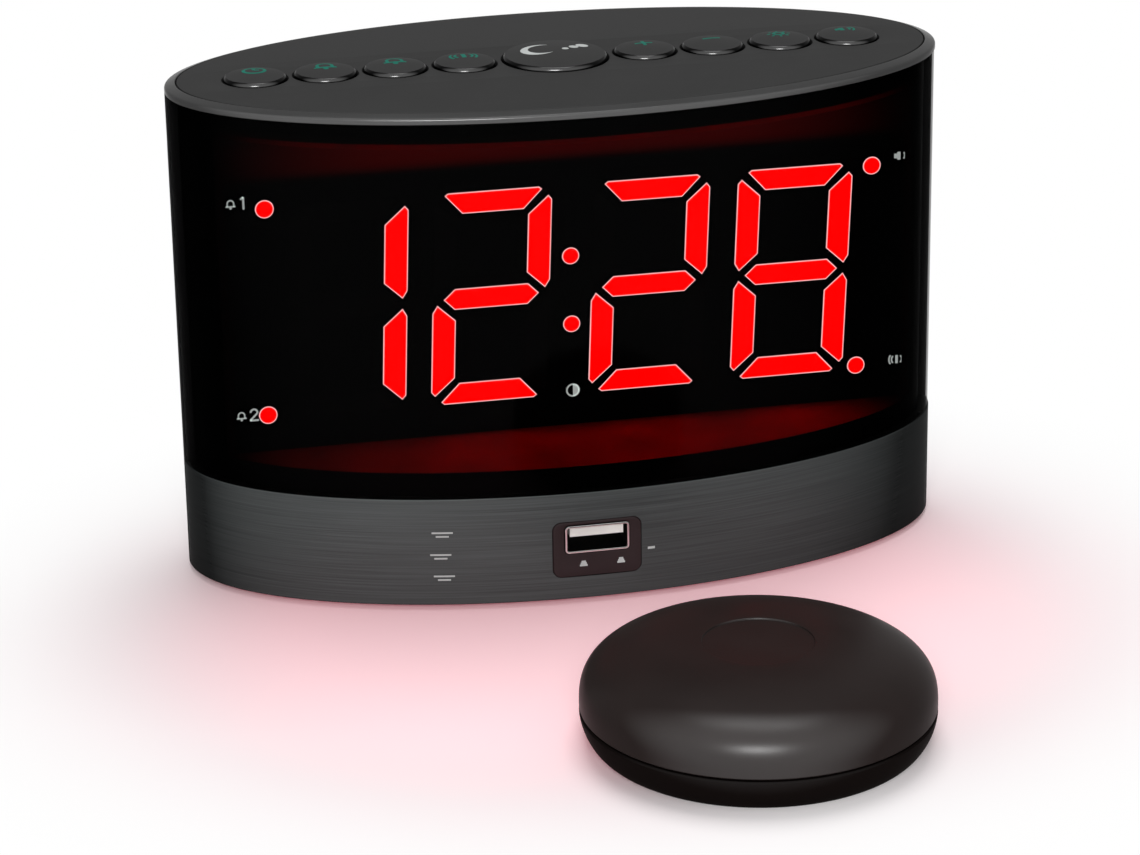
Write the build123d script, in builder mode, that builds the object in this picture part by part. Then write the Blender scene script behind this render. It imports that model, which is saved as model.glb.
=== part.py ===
from build123d import *
import math
import os

# Bed shaker alarm clock: an oval desk clock and the round shaker puck that lies in front of it.
# Millimetres. The origin is on the table under the middle of the clock, +Z is up, -Y faces the viewer.

# Fits and cuts
fit_gap = 0.1  # between pieces that seat in each other
running_gap = 0.3  # between pieces that move past each other
shaft_gap = 0.05  # radial play of a shaft or screw in its hole
cut_overrun = 12.0  # how far a cut runs past the face it opens

# Clock body: an upright oval wall on a base cover
body_width = 160.0
body_depth = 77.0
wall_height = 101.7  # underside of the body to underside of the top frame
wall_thickness = 2.4
seam_setback = 1.0  # the front pieces meet the rear housing this far in front of the middle
foot_height = 1.2
foot_radius = 5.0
foot_recess = 0.6
foot_x_share = 0.725  # places along the clock are shares of half the body's width
foot_y = 14.0
base_thickness = 2.6

# Base band and the skirt behind it
band_height = 23.1
band_skin = 0.6
ledge_width = 3.6
ledge_thickness = 2.0

# Front lens
lens_inset = 0.2
lens_thickness = 2.0

# Top frame and top panel
lip_height = 1.2
bevel_rise = 0.7
bevel_width = 2.2
panel_groove = 0.3
top_panel_thickness = 1.6
frame_spigot = 1.9
frame_opening_inset = 7.0

# Buttons
button_hole_gap = 0.35
button_first_x = 18.8
button_end_margin = 18.3  # middle of the outermost cap inside the end of the body
button_web = 1.5  # panel between neighbouring caps
button_count_per_side = 4
button_rise = 0.6
button_dome = 0.9
button_rim_round = 0.35
button_travel = 1.0
snooze_radius = 10.75
snooze_rise = 0.8
snooze_dome = 1.0
tab_thickness = 0.8
tab_width = 6.0
tab_reach = 1.2
tab_gap = 0.2

# Keypad mat and button board under the buttons
mat_thickness = 0.5
mat_dome_height = 0.5
mat_dome_radius = 2.5
mat_margin = 1.0
button_board_thickness = 1.2
button_board_margin = 1.5
panel_boss_radius = 2.1
panel_boss_y = 7.0

# Light box behind the lens
box_wall = 1.2
box_floor_rise = 4.0  # chamber floor above the top of the band
box_ceiling_drop = 5.6  # chamber ceiling below the underside of the top frame
box_back_setback = 4.5
cheek_length = 3.0

# Display
display_setback = 10.0
display_depth = 3.6
segment_depth = 2.4
segment_gap = 0.05
digit_height = 45.6
digit_rise = 6.8  # digits above the chamber floor
digit_lean = 2.4  # degrees
colon_spread = 14.8
colon_radius = 1.8
indicator_radius = 1.9
board_thickness = 1.6
display_board_margin = 3.0
chip_width = 1.6
chip_height = 1.0
chip_depth = 0.8

# Digits along the clock, as shares of half the body's width
digit_left_shares = (-0.739, -0.3675, 0.048, 0.4275)
digit_width_share = 0.306
colon_share = 0.007
# Segment outlines, as shares of the digit's width and height
flat_outline_shares = (
    (0.115, 1.0),
    (0.885, 1.0),
    (0.912, 0.988),
    (0.76, 0.901),
    (0.24, 0.901),
    (0.088, 0.988),
)
upright_outline_shares = (
    (0.0, 0.938),
    (0.033, 0.958),
    (0.2, 0.876),
    (0.2, 0.601),
    (0.041, 0.524),
    (0.0, 0.56),
)
middle_outline_shares = (
    (0.094, 0.5),
    (0.188, 0.549),
    (0.812, 0.549),
    (0.906, 0.5),
    (0.812, 0.451),
    (0.188, 0.451),
)
# Indicator dots, as shares of half the body's width and of the digit height above the digits' foot
indicator_shares = ((-0.7775, 0.993), (-0.791, 0.024), (0.8075, 0.978), (0.771, 0.018))

# Charging port in the front of the band
port_x = -0.7
port_height = 10.9  # middle of the port above the underside of the body
port_panel_width = 18.4
port_panel_height = 12.0
port_panel_corner = 1.8
port_panel_depth = 4.2
port_panel_proud = 0.1
port_flange = 1.3
port_flange_thickness = 1.2
shell_opening_width = 12.5
shell_opening_height = 5.12
shell_metal = 0.4
shell_corner = 0.5
shell_length = 14.0
shell_proud = 0.2
shell_rise = 2.2  # middle of the shell above the middle of the panel
tongue_width = 11.1
tongue_thickness = 1.84
tongue_drop = 0.35  # tongue below the top of the opening
tongue_length = 8.4
tongue_recess = 0.9
contact_width = 1.0
contact_pitch = 2.3
contact_thickness = 0.2
contact_count = 4

# Main board above the base cover
main_board_width_share = 0.45
main_board_back_gap = 2.0  # to the wall at the board's corners
main_board_front_gap = 8.0
main_board_tongue_half_width = 10.0
main_board_tongue_gap = 5.5  # end of the tongue inside the front of the body
standoff_radius = 2.6
standoff_x_share = 0.3875
standoff_front_margin = 6.0  # standoff inside the board's front edge
standoff_back_y = 12.0

# Small screws for the boards
board_screw_radius = 0.95
board_screw_length = 4.0
board_screw_head_radius = 1.8
board_screw_head_height = 1.1

# Base screws
base_screw_radius = 1.4
base_screw_length = 10.0
base_screw_head_radius = 2.7
base_screw_head_height = 1.4
base_screw_sink = 1.5
base_screw_head_gap = 0.3
base_boss_radius = 3.6
base_boss_x_share = 0.625
base_boss_inward = 5.0  # boss centre inside the wall's inner face
base_boss_height = 14.0
base_web_width = 2.5

# Rear jacks
power_jack_x_share = -0.3
power_jack_width = 9.0
power_jack_height = 11.0
power_jack_length = 13.0
power_collar_radius = 4.2
power_bore_radius = 3.2
power_bore_depth = 9.0
power_pin_radius = 1.0
power_pin_length = 8.0
shaker_jack_x_share = -0.075
shaker_jack_width = 8.0
shaker_jack_height = 9.0
shaker_jack_length = 14.0
shaker_collar_radius = 3.2
shaker_bore_radius = 1.8
shaker_bore_depth = 12.0
jack_collar_inset = 0.3  # collar ends this far inside the outer face of the wall

# Volume slide switch
volume_x_share = 0.125
volume_body_width = 10.0
volume_body_height = 4.6
volume_body_length = 5.0
volume_knob_width = 2.4
volume_knob_height = 2.0
volume_knob_reach = 1.2
volume_foot_width = 3.6
volume_foot_length = 2.0
volume_foot_height = 2.8
volume_travel = 3.0

# Dimmer wheel
dimmer_x_share = 0.35
dimmer_radius = 9.0
dimmer_thickness = 3.0
dimmer_reach = 2.0  # how far the wheel stands out of the wall
dimmer_shaft_radius = 1.5
dimmer_shaft_length = 2.6
dimmer_pot_width = 7.0
dimmer_pot_height = 3.6
knurl_radius = 0.5
knurl_count = 30

# Loudspeaker behind the grille in the rear wall
speaker_height = 62.0
speaker_radius = 20.0
speaker_seat_gap = 1.0  # seat to the wall's inner face beside the collar
speaker_collar_radius = 22.0
speaker_collar_wall = 2.0
speaker_flange_width = 3.0
speaker_flange_thickness = 1.0
speaker_basket_depth = 10.0
speaker_basket_radius = 11.0
speaker_paper = 0.5
speaker_coil_radius = 5.0
speaker_cone_gap = 0.4
magnet_radius = 12.0
magnet_depth = 7.0
grille_hole_radius = 1.1
grille_ring_pitch = 4.6
grille_ring_count = 3

# Backup cell and its door in the base cover
door_x_share = 0.1
door_radius = 11.7
door_height = 3.9
door_floor = 1.6
door_tab_reach = 2.1
door_tab_width = 6.0
door_tab_thickness = 1.0
door_turn = 45.0  # degrees from locked to free
coin_slot_length = 13.0
coin_slot_width = 1.8
coin_slot_depth = 0.9
cell_radius = 10.0
cell_height = 3.2
contact_strip_width = 4.0
contact_strip_thickness = 0.3
contact_strip_length = 12.0

# Shaker puck
puck_x = 15.0
puck_y = -108.4
puck_radius = 33.8
puck_top = 20.1
puck_seam_height = 7.2
puck_seam_gap = 0.4
puck_base_radius = 30.2
puck_lift = 0.3  # shell above the table
puck_wall = 2.0
puck_floor = 2.2
puck_dome_exponent = 3.1
puck_underside_exponent = 1.62
puck_recess_radius = 10.6
puck_recess_depth = 0.45
puck_lip_thickness = 1.2
puck_lip_rise = 1.5
puck_pad_radius = 19.0
puck_pad_thickness = 1.0
puck_screw_circle = 25.0
puck_screw_count = 3
puck_screw_angle = 30.0  # degrees
puck_screw_radius = 1.15
puck_screw_length = 8.0
puck_screw_head_radius = 2.3
puck_screw_head_height = 1.5
puck_screw_sink = 3.6
puck_post_radius = 3.4

# Shaker motor and its eccentric weight
motor_radius = 9.0
motor_half_height = 6.8
motor_length = 25.0
motor_back = -18.5  # closed end of the can from the middle of the puck
motor_nose_radius = 3.0
motor_nose_length = 1.5
motor_bore_depth = 6.0
motor_shaft_radius = 1.0
cradle_floor = 0.9
cradle_wall = 1.6
cradle_length = 19.0
cradle_margin = 2.5
cradle_rise = 6.6
weight_radius = 7.0
weight_thickness = 8.0
weight_hub_radius = 2.6
weight_start_gap = 1.5
weight_sector = 160.0  # degrees

# Cord gland in the side of the puck
gland_radius = 3.3
gland_bore_radius = 1.8
gland_flange_radius = 4.2
gland_flange_thickness = 1.5
gland_flange_y = 28.0
gland_proud = 0.6

# Heights and places worked out from the sizes above
half_width = body_width / 2
foot_x = foot_x_share * half_width
base_boss_x = base_boss_x_share * half_width
standoff_x = standoff_x_share * half_width
main_board_half_width = main_board_width_share * half_width
power_jack_x = power_jack_x_share * half_width
shaker_jack_x = shaker_jack_x_share * half_width
volume_x = volume_x_share * half_width
dimmer_x = dimmer_x_share * half_width
door_x = door_x_share * half_width
digit_width = digit_width_share * half_width
colon_x = colon_share * half_width
button_last_x = half_width - button_end_margin
button_pitch = (button_last_x - button_first_x) / (button_count_per_side - 1)
button_radius = (button_pitch - button_web) / 2
body_bottom = foot_height
band_top = body_bottom + band_height
wall_top = body_bottom + wall_height
lip_top = wall_top + lip_height
top_surface = lip_top + bevel_rise
panel_underside = top_surface - top_panel_thickness
cap_bottom = panel_underside - tab_gap - tab_thickness
mat_top = cap_bottom - button_travel - running_gap - mat_dome_height
board_top = mat_top - mat_thickness
chamber_floor = band_top + box_floor_rise
chamber_ceiling = wall_top - box_ceiling_drop
box_inset = wall_thickness + fit_gap
frame_spigot_bottom = wall_top - frame_spigot
base_top = body_bottom + base_thickness
digit_bottom = chamber_floor + digit_rise
digit_middle = digit_bottom + digit_height / 2
port_z = body_bottom + port_height
shell_z = port_z + shell_rise
shell_width = shell_opening_width + 2 * shell_metal
shell_height = shell_opening_height + 2 * shell_metal
main_board_top = shell_z - shell_height / 2
main_board_bottom = main_board_top - board_thickness
button_places = sorted(
    side * (button_first_x + step * button_pitch) for side in (-1, 1) for step in range(button_count_per_side)
)
boss_places = [side * (button_first_x + step * button_pitch / 2) for side in (-1, 1) for step in (1, 5)]


def wall_y(x, inset):
    """How far in front of or behind the middle the oval wall runs at x, drawn in by inset."""
    return (body_depth / 2 - inset) * math.sqrt(1 - (x / (half_width - inset)) ** 2)


def wall_x(y, inset):
    """How far to each side the oval wall runs at y, drawn in by inset."""
    return (half_width - inset) * math.sqrt(1 - (y / (body_depth / 2 - inset)) ** 2)


def oval(inset, mode=Mode.ADD):
    """The body's oval outline, drawn in by inset all round, in the current sketch."""
    return Ellipse(half_width - inset, body_depth / 2 - inset, mode=mode)


seam_plane = Plane.XZ.offset(seam_setback)
front_view = Plane.XZ  # sketches on it use x and z, and its normal faces the viewer

# Base cover and what it carries
base_boss_y = wall_y(base_boss_x, wall_thickness) - base_boss_inward
base_screw_places = [(sx * base_boss_x, sy * base_boss_y) for sx in (-1, 1) for sy in (-1, 1)]
main_board_back = wall_y(main_board_half_width, wall_thickness) - main_board_back_gap
main_board_front = wall_y(main_board_half_width, wall_thickness) - main_board_front_gap
main_board_tongue_reach = body_depth / 2 - main_board_tongue_gap
standoff_front_y = main_board_front - standoff_front_margin
standoff_places = [(sx * standoff_x, y) for sx in (-1, 1) for y in (-standoff_front_y, standoff_back_y)]
foot_places = [(sx * foot_x, sy * foot_y) for sx in (-1, 1) for sy in (-1, 1)]
door_hole_radius = door_radius + running_gap
door_places = [(door_x, 0)]

with BuildPart() as base_cover:
    with BuildSketch(Plane.XY.offset(body_bottom)):
        oval(box_inset)
        with Locations(*base_screw_places):
            Circle(base_screw_radius + running_gap, mode=Mode.SUBTRACT)
        with Locations(*door_places):
            Circle(door_hole_radius, mode=Mode.SUBTRACT)
    extrude(amount=base_thickness)
    with BuildSketch(Plane.XY.offset(body_bottom)):
        with Locations(*base_screw_places):
            Circle(base_screw_head_radius + base_screw_head_gap)
    extrude(amount=base_screw_sink, mode=Mode.SUBTRACT)
    with BuildSketch(Plane.XY.offset(body_bottom)):
        with Locations(*foot_places):
            Circle(foot_radius + fit_gap)
    extrude(amount=foot_recess, mode=Mode.SUBTRACT)
    with BuildSketch(Plane.XY.offset(base_top)):
        with Locations(*standoff_places):
            Circle(standoff_radius)
    extrude(amount=main_board_bottom - base_top)
    with BuildSketch(Plane.XY.offset(base_top)):
        with Locations(*standoff_places):
            Circle(board_screw_radius + shaft_gap)
    extrude(amount=main_board_bottom - base_top, mode=Mode.SUBTRACT)
    with BuildSketch(Plane.XY.offset(body_bottom)):
        with Locations(Location((door_x, 0), door_turn)):
            Rectangle(
                2 * (door_radius + door_tab_reach + running_gap),
                door_tab_width + 2 * running_gap,
            )
    extrude(amount=base_thickness, mode=Mode.SUBTRACT)

with BuildPart() as rubber_feet:
    with BuildSketch():
        with Locations(*foot_places):
            Circle(foot_radius)
    extrude(amount=foot_height + foot_recess)

base_head_bottom = body_bottom + base_screw_sink - base_screw_head_height
with BuildPart() as base_screws:
    with BuildSketch(Plane.XY.offset(base_head_bottom)):
        with Locations(*base_screw_places):
            Circle(base_screw_head_radius)
    extrude(amount=base_screw_head_height)
    with BuildSketch(Plane.XY.offset(body_bottom + base_screw_sink)):
        with Locations(*base_screw_places):
            Circle(base_screw_radius)
    extrude(amount=base_screw_length)


def base_bosses(sign):
    """Two screw bosses with their webs to the wall, in front for -1 and behind for 1."""
    reach = wall_y(base_boss_x, wall_thickness) - base_boss_y + wall_thickness / 2
    places = [(side * base_boss_x, sign * base_boss_y) for side in (-1, 1)]
    webs = [(x, y + sign * reach / 2) for x, y in places]
    with BuildPart() as bosses:
        with BuildSketch(Plane.XY.offset(base_top)):
            with Locations(*places):
                Circle(base_boss_radius)
            with Locations(*webs):
                Rectangle(base_web_width, reach)
        extrude(amount=base_boss_height)
        with BuildSketch(Plane.XY.offset(base_top)):
            with Locations(*places):
                Circle(base_screw_radius + shaft_gap)
        extrude(amount=base_screw_length, mode=Mode.SUBTRACT)
    return bosses.part


# Front: band, skirt and lens
port_cut_plane = front_view.offset(body_depth / 2 + cut_overrun)
port_cut_depth = cut_overrun + body_depth / 2 - seam_setback
port_places = [(port_x, port_z)]

with BuildPart() as base_band:
    with BuildSketch(Plane.XY.offset(body_bottom)):
        oval(0)
        oval(band_skin, mode=Mode.SUBTRACT)
    extrude(amount=band_height)
    split(bisect_by=seam_plane, keep=Keep.TOP)
    with BuildSketch(port_cut_plane):
        with Locations(*port_places):
            RectangleRounded(
                port_panel_width + 2 * fit_gap,
                port_panel_height + 2 * fit_gap,
                port_panel_corner + fit_gap,
            )
    extrude(amount=-port_cut_depth, mode=Mode.SUBTRACT)

with BuildPart() as front_skirt:
    with BuildSketch(Plane.XY.offset(body_bottom)):
        oval(band_skin)
        oval(wall_thickness, mode=Mode.SUBTRACT)
    extrude(amount=band_height)
    with BuildSketch(Plane.XY.offset(band_top - ledge_thickness)):
        oval(band_skin)
        oval(wall_thickness + ledge_width, mode=Mode.SUBTRACT)
    extrude(amount=ledge_thickness)
    with BuildSketch(port_cut_plane):
        with Locations(*port_places):
            RectangleRounded(
                port_panel_width + 2 * fit_gap,
                port_panel_height + 2 * fit_gap,
                port_panel_corner + fit_gap,
            )
    extrude(amount=-port_cut_depth, mode=Mode.SUBTRACT)
    split(bisect_by=seam_plane, keep=Keep.TOP)
    add(base_bosses(-1))

with BuildPart() as front_lens:
    with BuildSketch(Plane.XY.offset(band_top)):
        oval(lens_inset)
        oval(lens_inset + lens_thickness, mode=Mode.SUBTRACT)
    extrude(amount=wall_top - band_top)
    split(bisect_by=seam_plane, keep=Keep.TOP)

# Rear housing: half of the oval wall with the grille, the jack holes and the control slots
rear_cut_plane = front_view.offset(-seam_setback)
rear_cut_depth = body_depth / 2 + cut_overrun
power_jack_z = main_board_top + power_jack_height / 2
shaker_jack_z = main_board_top + shaker_jack_height / 2
volume_z = main_board_top + volume_body_height / 2
dimmer_z = main_board_top + dimmer_pot_height + running_gap
dimmer_y = wall_y(dimmer_x, 0) + dimmer_reach - dimmer_radius
volume_slot_width = volume_knob_width + volume_travel + 2 * running_gap
speaker_seat_y = wall_y(speaker_collar_radius, wall_thickness) - speaker_seat_gap
speaker_collar_end = (wall_y(speaker_collar_radius, 0) + wall_y(0, wall_thickness)) / 2

with BuildPart() as rear_housing:
    with BuildSketch(Plane.XY.offset(body_bottom)):
        oval(0)
        oval(wall_thickness, mode=Mode.SUBTRACT)
    extrude(amount=wall_height)
    split(bisect_by=seam_plane.offset(-fit_gap), keep=Keep.BOTTOM)
    add(base_bosses(1))
    with BuildSketch(front_view.offset(-speaker_seat_y)):
        with Locations((0, speaker_height)):
            Circle(speaker_collar_radius)
            Circle(speaker_collar_radius - speaker_collar_wall, mode=Mode.SUBTRACT)
    extrude(amount=speaker_seat_y - speaker_collar_end)
    with BuildSketch(rear_cut_plane):
        with Locations((0, speaker_height)):
            Circle(grille_hole_radius)
        for ring in range(1, grille_ring_count + 1):
            with Locations((0, speaker_height)):
                with PolarLocations(ring * grille_ring_pitch, 6 * ring):
                    Circle(grille_hole_radius)
        with Locations((power_jack_x, power_jack_z)):
            Circle(power_collar_radius + fit_gap)
        with Locations((shaker_jack_x, shaker_jack_z)):
            Circle(shaker_collar_radius + fit_gap)
        with Locations((volume_x, volume_z)):
            Rectangle(volume_slot_width, volume_knob_height + 2 * running_gap)
    extrude(amount=-rear_cut_depth, mode=Mode.SUBTRACT)
    with BuildSketch(Plane.XY.offset(dimmer_z - running_gap)):
        with Locations((dimmer_x, dimmer_y)):
            Circle(dimmer_radius + running_gap)
    extrude(amount=dimmer_thickness + 2 * running_gap, mode=Mode.SUBTRACT)

# Top frame and the panel let into it
with BuildPart() as top_frame:
    with BuildSketch(Plane.XY.offset(wall_top)):
        oval(0)
    extrude(amount=lip_height)
    with BuildSketch(Plane.XY.offset(lip_top)):
        oval(0)
    with BuildSketch(Plane.XY.offset(top_surface)):
        oval(bevel_width)
    loft(ruled=True)
    with BuildSketch(Plane.XY.offset(frame_spigot_bottom)):
        oval(wall_thickness + fit_gap)
    extrude(amount=frame_spigot)
    with BuildSketch(Plane.XY.offset(panel_underside)):
        oval(bevel_width)
    extrude(amount=top_panel_thickness, mode=Mode.SUBTRACT)
    with BuildSketch(Plane.XY.offset(frame_spigot_bottom)):
        oval(frame_opening_inset)
    extrude(amount=frame_spigot + lip_height, mode=Mode.SUBTRACT)

small_button_places = [(x, 0) for x in button_places]
panel_boss_places = [(x, panel_boss_y) for x in boss_places]
with BuildPart() as top_panel:
    with BuildSketch(Plane.XY.offset(panel_underside)):
        oval(bevel_width + panel_groove)
        with Locations(*small_button_places):
            Circle(button_radius + button_hole_gap, mode=Mode.SUBTRACT)
        Circle(snooze_radius + button_hole_gap, mode=Mode.SUBTRACT)
    extrude(amount=top_panel_thickness)
    with BuildSketch(Plane.XY.offset(board_top)):
        with Locations(*panel_boss_places):
            Circle(panel_boss_radius)
            Circle(board_screw_radius + shaft_gap, mode=Mode.SUBTRACT)
    extrude(amount=panel_underside - board_top)


def press_button(x, radius, rise, dome):
    """One push button at x: a domed cap with two tabs that catch under the top panel."""
    rim = top_surface + rise
    with BuildPart() as button:
        with BuildSketch(Plane(origin=(x, 0, 0), x_dir=(1, 0, 0), z_dir=(0, -1, 0))):
            with BuildLine():
                TangentArc((0, rim + dome), (radius, rim), tangent=(1, 0))
                Polyline((radius, rim), (radius, cap_bottom), (0, cap_bottom), (0, rim + dome))
            make_face()
        revolve(axis=Axis((x, 0, 0), (0, 0, 1)))
        circles = button.edges().filter_by(GeomType.CIRCLE).filter_by(lambda edge: edge.is_closed)
        fillet(circles.group_by(Axis.Z)[-1], radius=button_rim_round)
        with BuildSketch(Plane.XY.offset(cap_bottom)):
            with Locations((x, 0)):
                Rectangle(tab_width, 2 * (radius + tab_reach))
        extrude(amount=tab_thickness)
    return button


# Keypad mat and button board
board_half_length = button_places[-1] + button_radius + button_board_margin
board_half_depth = snooze_radius + button_board_margin
with BuildPart() as keypad_mat:
    with BuildSketch(Plane.XY.offset(board_top)):
        Rectangle(2 * (board_half_length - mat_margin), 2 * (board_half_depth - mat_margin))
        with Locations(*panel_boss_places):
            Circle(panel_boss_radius + fit_gap, mode=Mode.SUBTRACT)
    extrude(amount=mat_thickness)
    with BuildSketch(Plane.XY.offset(mat_top)):
        with Locations(*small_button_places, (0, 0)):
            Circle(mat_dome_radius)
    extrude(amount=mat_dome_height)

with BuildPart() as button_board:
    with BuildSketch(Plane.XY.offset(board_top - button_board_thickness)):
        Rectangle(2 * board_half_length, 2 * board_half_depth)
        with Locations(*panel_boss_places):
            Circle(board_screw_radius + running_gap, mode=Mode.SUBTRACT)
    extrude(amount=button_board_thickness)

# Light box: chamber floor, ceiling and end cheeks, open towards the lens
with BuildPart() as light_box:
    with BuildSketch(Plane.XY.offset(band_top)):
        oval(box_inset)
        oval(box_inset + box_wall, mode=Mode.SUBTRACT)
    extrude(amount=frame_spigot_bottom - fit_gap - band_top)
    with BuildSketch(Plane.XY.offset(chamber_floor - box_wall)):
        oval(box_inset)
    extrude(amount=box_wall)
    with BuildSketch(Plane.XY.offset(chamber_ceiling)):
        oval(box_inset)
    extrude(amount=box_wall)
    split(bisect_by=front_view.offset(box_back_setback), keep=Keep.TOP)
    with BuildSketch(front_view.offset(display_setback + cheek_length)):
        with Locations((0, (chamber_floor + chamber_ceiling) / 2)):
            Rectangle(body_width, chamber_ceiling - chamber_floor)
    extrude(amount=body_depth, mode=Mode.SUBTRACT)


# Display: black panel with a window for each segment, lit segments, unlit segments and dots
def mirrored(shares):
    """The outline flipped left to right."""
    return [(1 - u, v) for u, v in shares]


def flipped(shares):
    """The outline flipped upside down."""
    return [(u, 1 - v) for u, v in shares]


segment_outlines = {
    "a": flat_outline_shares,
    "b": mirrored(upright_outline_shares),
    "c": mirrored(flipped(upright_outline_shares)),
    "d": flipped(flat_outline_shares),
    "e": flipped(upright_outline_shares),
    "f": upright_outline_shares,
    "g": middle_outline_shares,
}
digit_lefts = [share * half_width for share in digit_left_shares]
lit_by_digit = ("bc", "abdeg", "abdeg", "abcdefg")
lean = math.tan(math.radians(digit_lean))


def segment_corners(left, shares):
    """Corners of one segment in x and z, leaning with its digit."""
    return [
        (left + u * digit_width + v * digit_height * lean, digit_bottom + v * digit_height)
        for u, v in shares
    ]


lit_corners = []
unlit_corners = []
for digit_left, lit_names in zip(digit_lefts, lit_by_digit):
    for name, outline in segment_outlines.items():
        corners = segment_corners(digit_left, outline)
        if name in lit_names:
            lit_corners.append(corners)
        else:
            unlit_corners.append(corners)
colon_places = [(colon_x, digit_middle + side * colon_spread / 2) for side in (-1, 1)]
indicator_places = [
    (x_share * half_width, digit_bottom + z_share * digit_height) for x_share, z_share in indicator_shares
]
display_front = front_view.offset(display_setback)
display_back_y = -display_setback + display_depth
panel_half_width = wall_x(display_setback, box_inset + box_wall) - fit_gap
display_middle = (chamber_floor + chamber_ceiling) / 2

with BuildPart() as display_panel:
    with BuildSketch(display_front):
        with Locations((0, display_middle)):
            Rectangle(2 * panel_half_width, chamber_ceiling - chamber_floor - 2 * fit_gap)
    extrude(amount=-display_depth)
    with BuildSketch(display_front):
        for corners in lit_corners + unlit_corners:
            Polygon(*corners, align=None)
        offset(amount=segment_gap, kind=Kind.INTERSECTION)
        with Locations(*colon_places):
            Circle(colon_radius + segment_gap)
        with Locations(*indicator_places):
            Circle(indicator_radius + segment_gap)
    extrude(amount=-display_depth, mode=Mode.SUBTRACT)

with BuildPart() as lit_segments:
    with BuildSketch(display_front):
        for corners in lit_corners:
            Polygon(*corners, align=None)
    extrude(amount=-segment_depth)

with BuildPart() as unlit_segments:
    with BuildSketch(display_front):
        for corners in unlit_corners:
            Polygon(*corners, align=None)
    extrude(amount=-segment_depth)

with BuildPart() as indicator_dots:
    with BuildSketch(display_front):
        with Locations(*colon_places):
            Circle(colon_radius)
        with Locations(*indicator_places):
            Circle(indicator_radius)
    extrude(amount=-segment_depth)

chip_places = [
    (sum(x for x, _ in corners) / len(corners), sum(z for _, z in corners) / len(corners))
    for corners in lit_corners + unlit_corners
]
with BuildPart() as led_chips:
    with BuildSketch(front_view.offset(-display_back_y)):
        with Locations(*chip_places, *colon_places, *indicator_places):
            Rectangle(chip_width, chip_height)
    extrude(amount=chip_depth)

with BuildPart() as display_board:
    with BuildSketch(front_view.offset(-display_back_y)):
        with Locations((0, display_middle)):
            Rectangle(
                2 * (panel_half_width - display_board_margin),
                chamber_ceiling - chamber_floor - 2 * display_board_margin,
            )
    extrude(amount=-board_thickness)

# Charging port: plastic plate, metal shell, tongue and contacts
panel_front_y = -body_depth / 2 - port_panel_proud
panel_back_plane = front_view.offset(-panel_front_y - port_panel_depth)
shell_front_y = panel_front_y - shell_proud
shell_back_y = shell_front_y + shell_length
shell_places = [(port_x, shell_z)]
with BuildPart() as usb_panel:
    with BuildSketch(panel_back_plane):
        with Locations(*port_places):
            RectangleRounded(port_panel_width, port_panel_height, port_panel_corner)
    extrude(amount=port_panel_depth)
    with BuildSketch(panel_back_plane):
        with Locations(*port_places):
            RectangleRounded(
                port_panel_width + 2 * port_flange,
                port_panel_height + 2 * port_flange,
                port_panel_corner,
            )
    extrude(amount=port_flange_thickness)
    with BuildSketch(panel_back_plane):
        with Locations(*shell_places):
            RectangleRounded(
                shell_width + 2 * fit_gap,
                shell_height + 2 * fit_gap,
                shell_corner + shell_metal,
            )
    extrude(amount=port_panel_depth, mode=Mode.SUBTRACT)

with BuildPart() as usb_shell:
    with BuildSketch(front_view.offset(-shell_front_y)):
        with Locations(*shell_places):
            RectangleRounded(shell_width, shell_height, shell_corner + shell_metal)
            RectangleRounded(shell_opening_width, shell_opening_height, shell_corner, mode=Mode.SUBTRACT)
    extrude(amount=-shell_length)

tongue_z = shell_z + shell_opening_height / 2 - tongue_drop - tongue_thickness / 2
tongue_front_y = shell_front_y + tongue_recess
tongue_base_y = tongue_front_y + tongue_length
with BuildPart() as usb_tongue:
    with BuildSketch(front_view.offset(-tongue_front_y)):
        with Locations((port_x, tongue_z)):
            Rectangle(tongue_width, tongue_thickness)
    extrude(amount=-tongue_length)
    with BuildSketch(front_view.offset(-tongue_base_y)):
        with Locations(*shell_places):
            RectangleRounded(
                shell_opening_width - 2 * fit_gap,
                shell_opening_height - 2 * fit_gap,
                shell_corner,
            )
    extrude(amount=tongue_base_y - shell_back_y)

contact_z = tongue_z - (tongue_thickness + contact_thickness) / 2
contact_places = [
    (port_x + (step - (contact_count - 1) / 2) * contact_pitch, contact_z) for step in range(contact_count)
]
with BuildPart() as usb_contacts:
    with BuildSketch(front_view.offset(-tongue_front_y - tongue_recess)):
        with Locations(*contact_places):
            Rectangle(contact_width, contact_thickness)
    extrude(amount=tongue_recess - tongue_length)

# Main board and what stands on it
with BuildPart() as main_board:
    with BuildSketch(Plane.XY.offset(main_board_bottom)):
        with Locations((0, (main_board_back - main_board_front) / 2)):
            Rectangle(2 * main_board_half_width, main_board_back + main_board_front)
        with Locations((0, -main_board_tongue_reach / 2)):
            Rectangle(2 * main_board_tongue_half_width, main_board_tongue_reach)
        with Locations(*standoff_places):
            Circle(board_screw_radius + running_gap, mode=Mode.SUBTRACT)
    extrude(amount=board_thickness)

with BuildPart() as board_screws:
    with BuildSketch(Plane.XY.offset(main_board_top)):
        with Locations(*standoff_places):
            Circle(board_screw_head_radius)
    extrude(amount=board_screw_head_height)
    with BuildSketch(Plane.XY.offset(main_board_top)):
        with Locations(*standoff_places):
            Circle(board_screw_radius)
    extrude(amount=-board_screw_length)
    with BuildSketch(Plane.XY.offset(board_top - button_board_thickness)):
        with Locations(*panel_boss_places):
            Circle(board_screw_head_radius)
    extrude(amount=-board_screw_head_height)
    with BuildSketch(Plane.XY.offset(board_top - button_board_thickness)):
        with Locations(*panel_boss_places):
            Circle(board_screw_radius)
    extrude(amount=board_screw_length)


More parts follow.
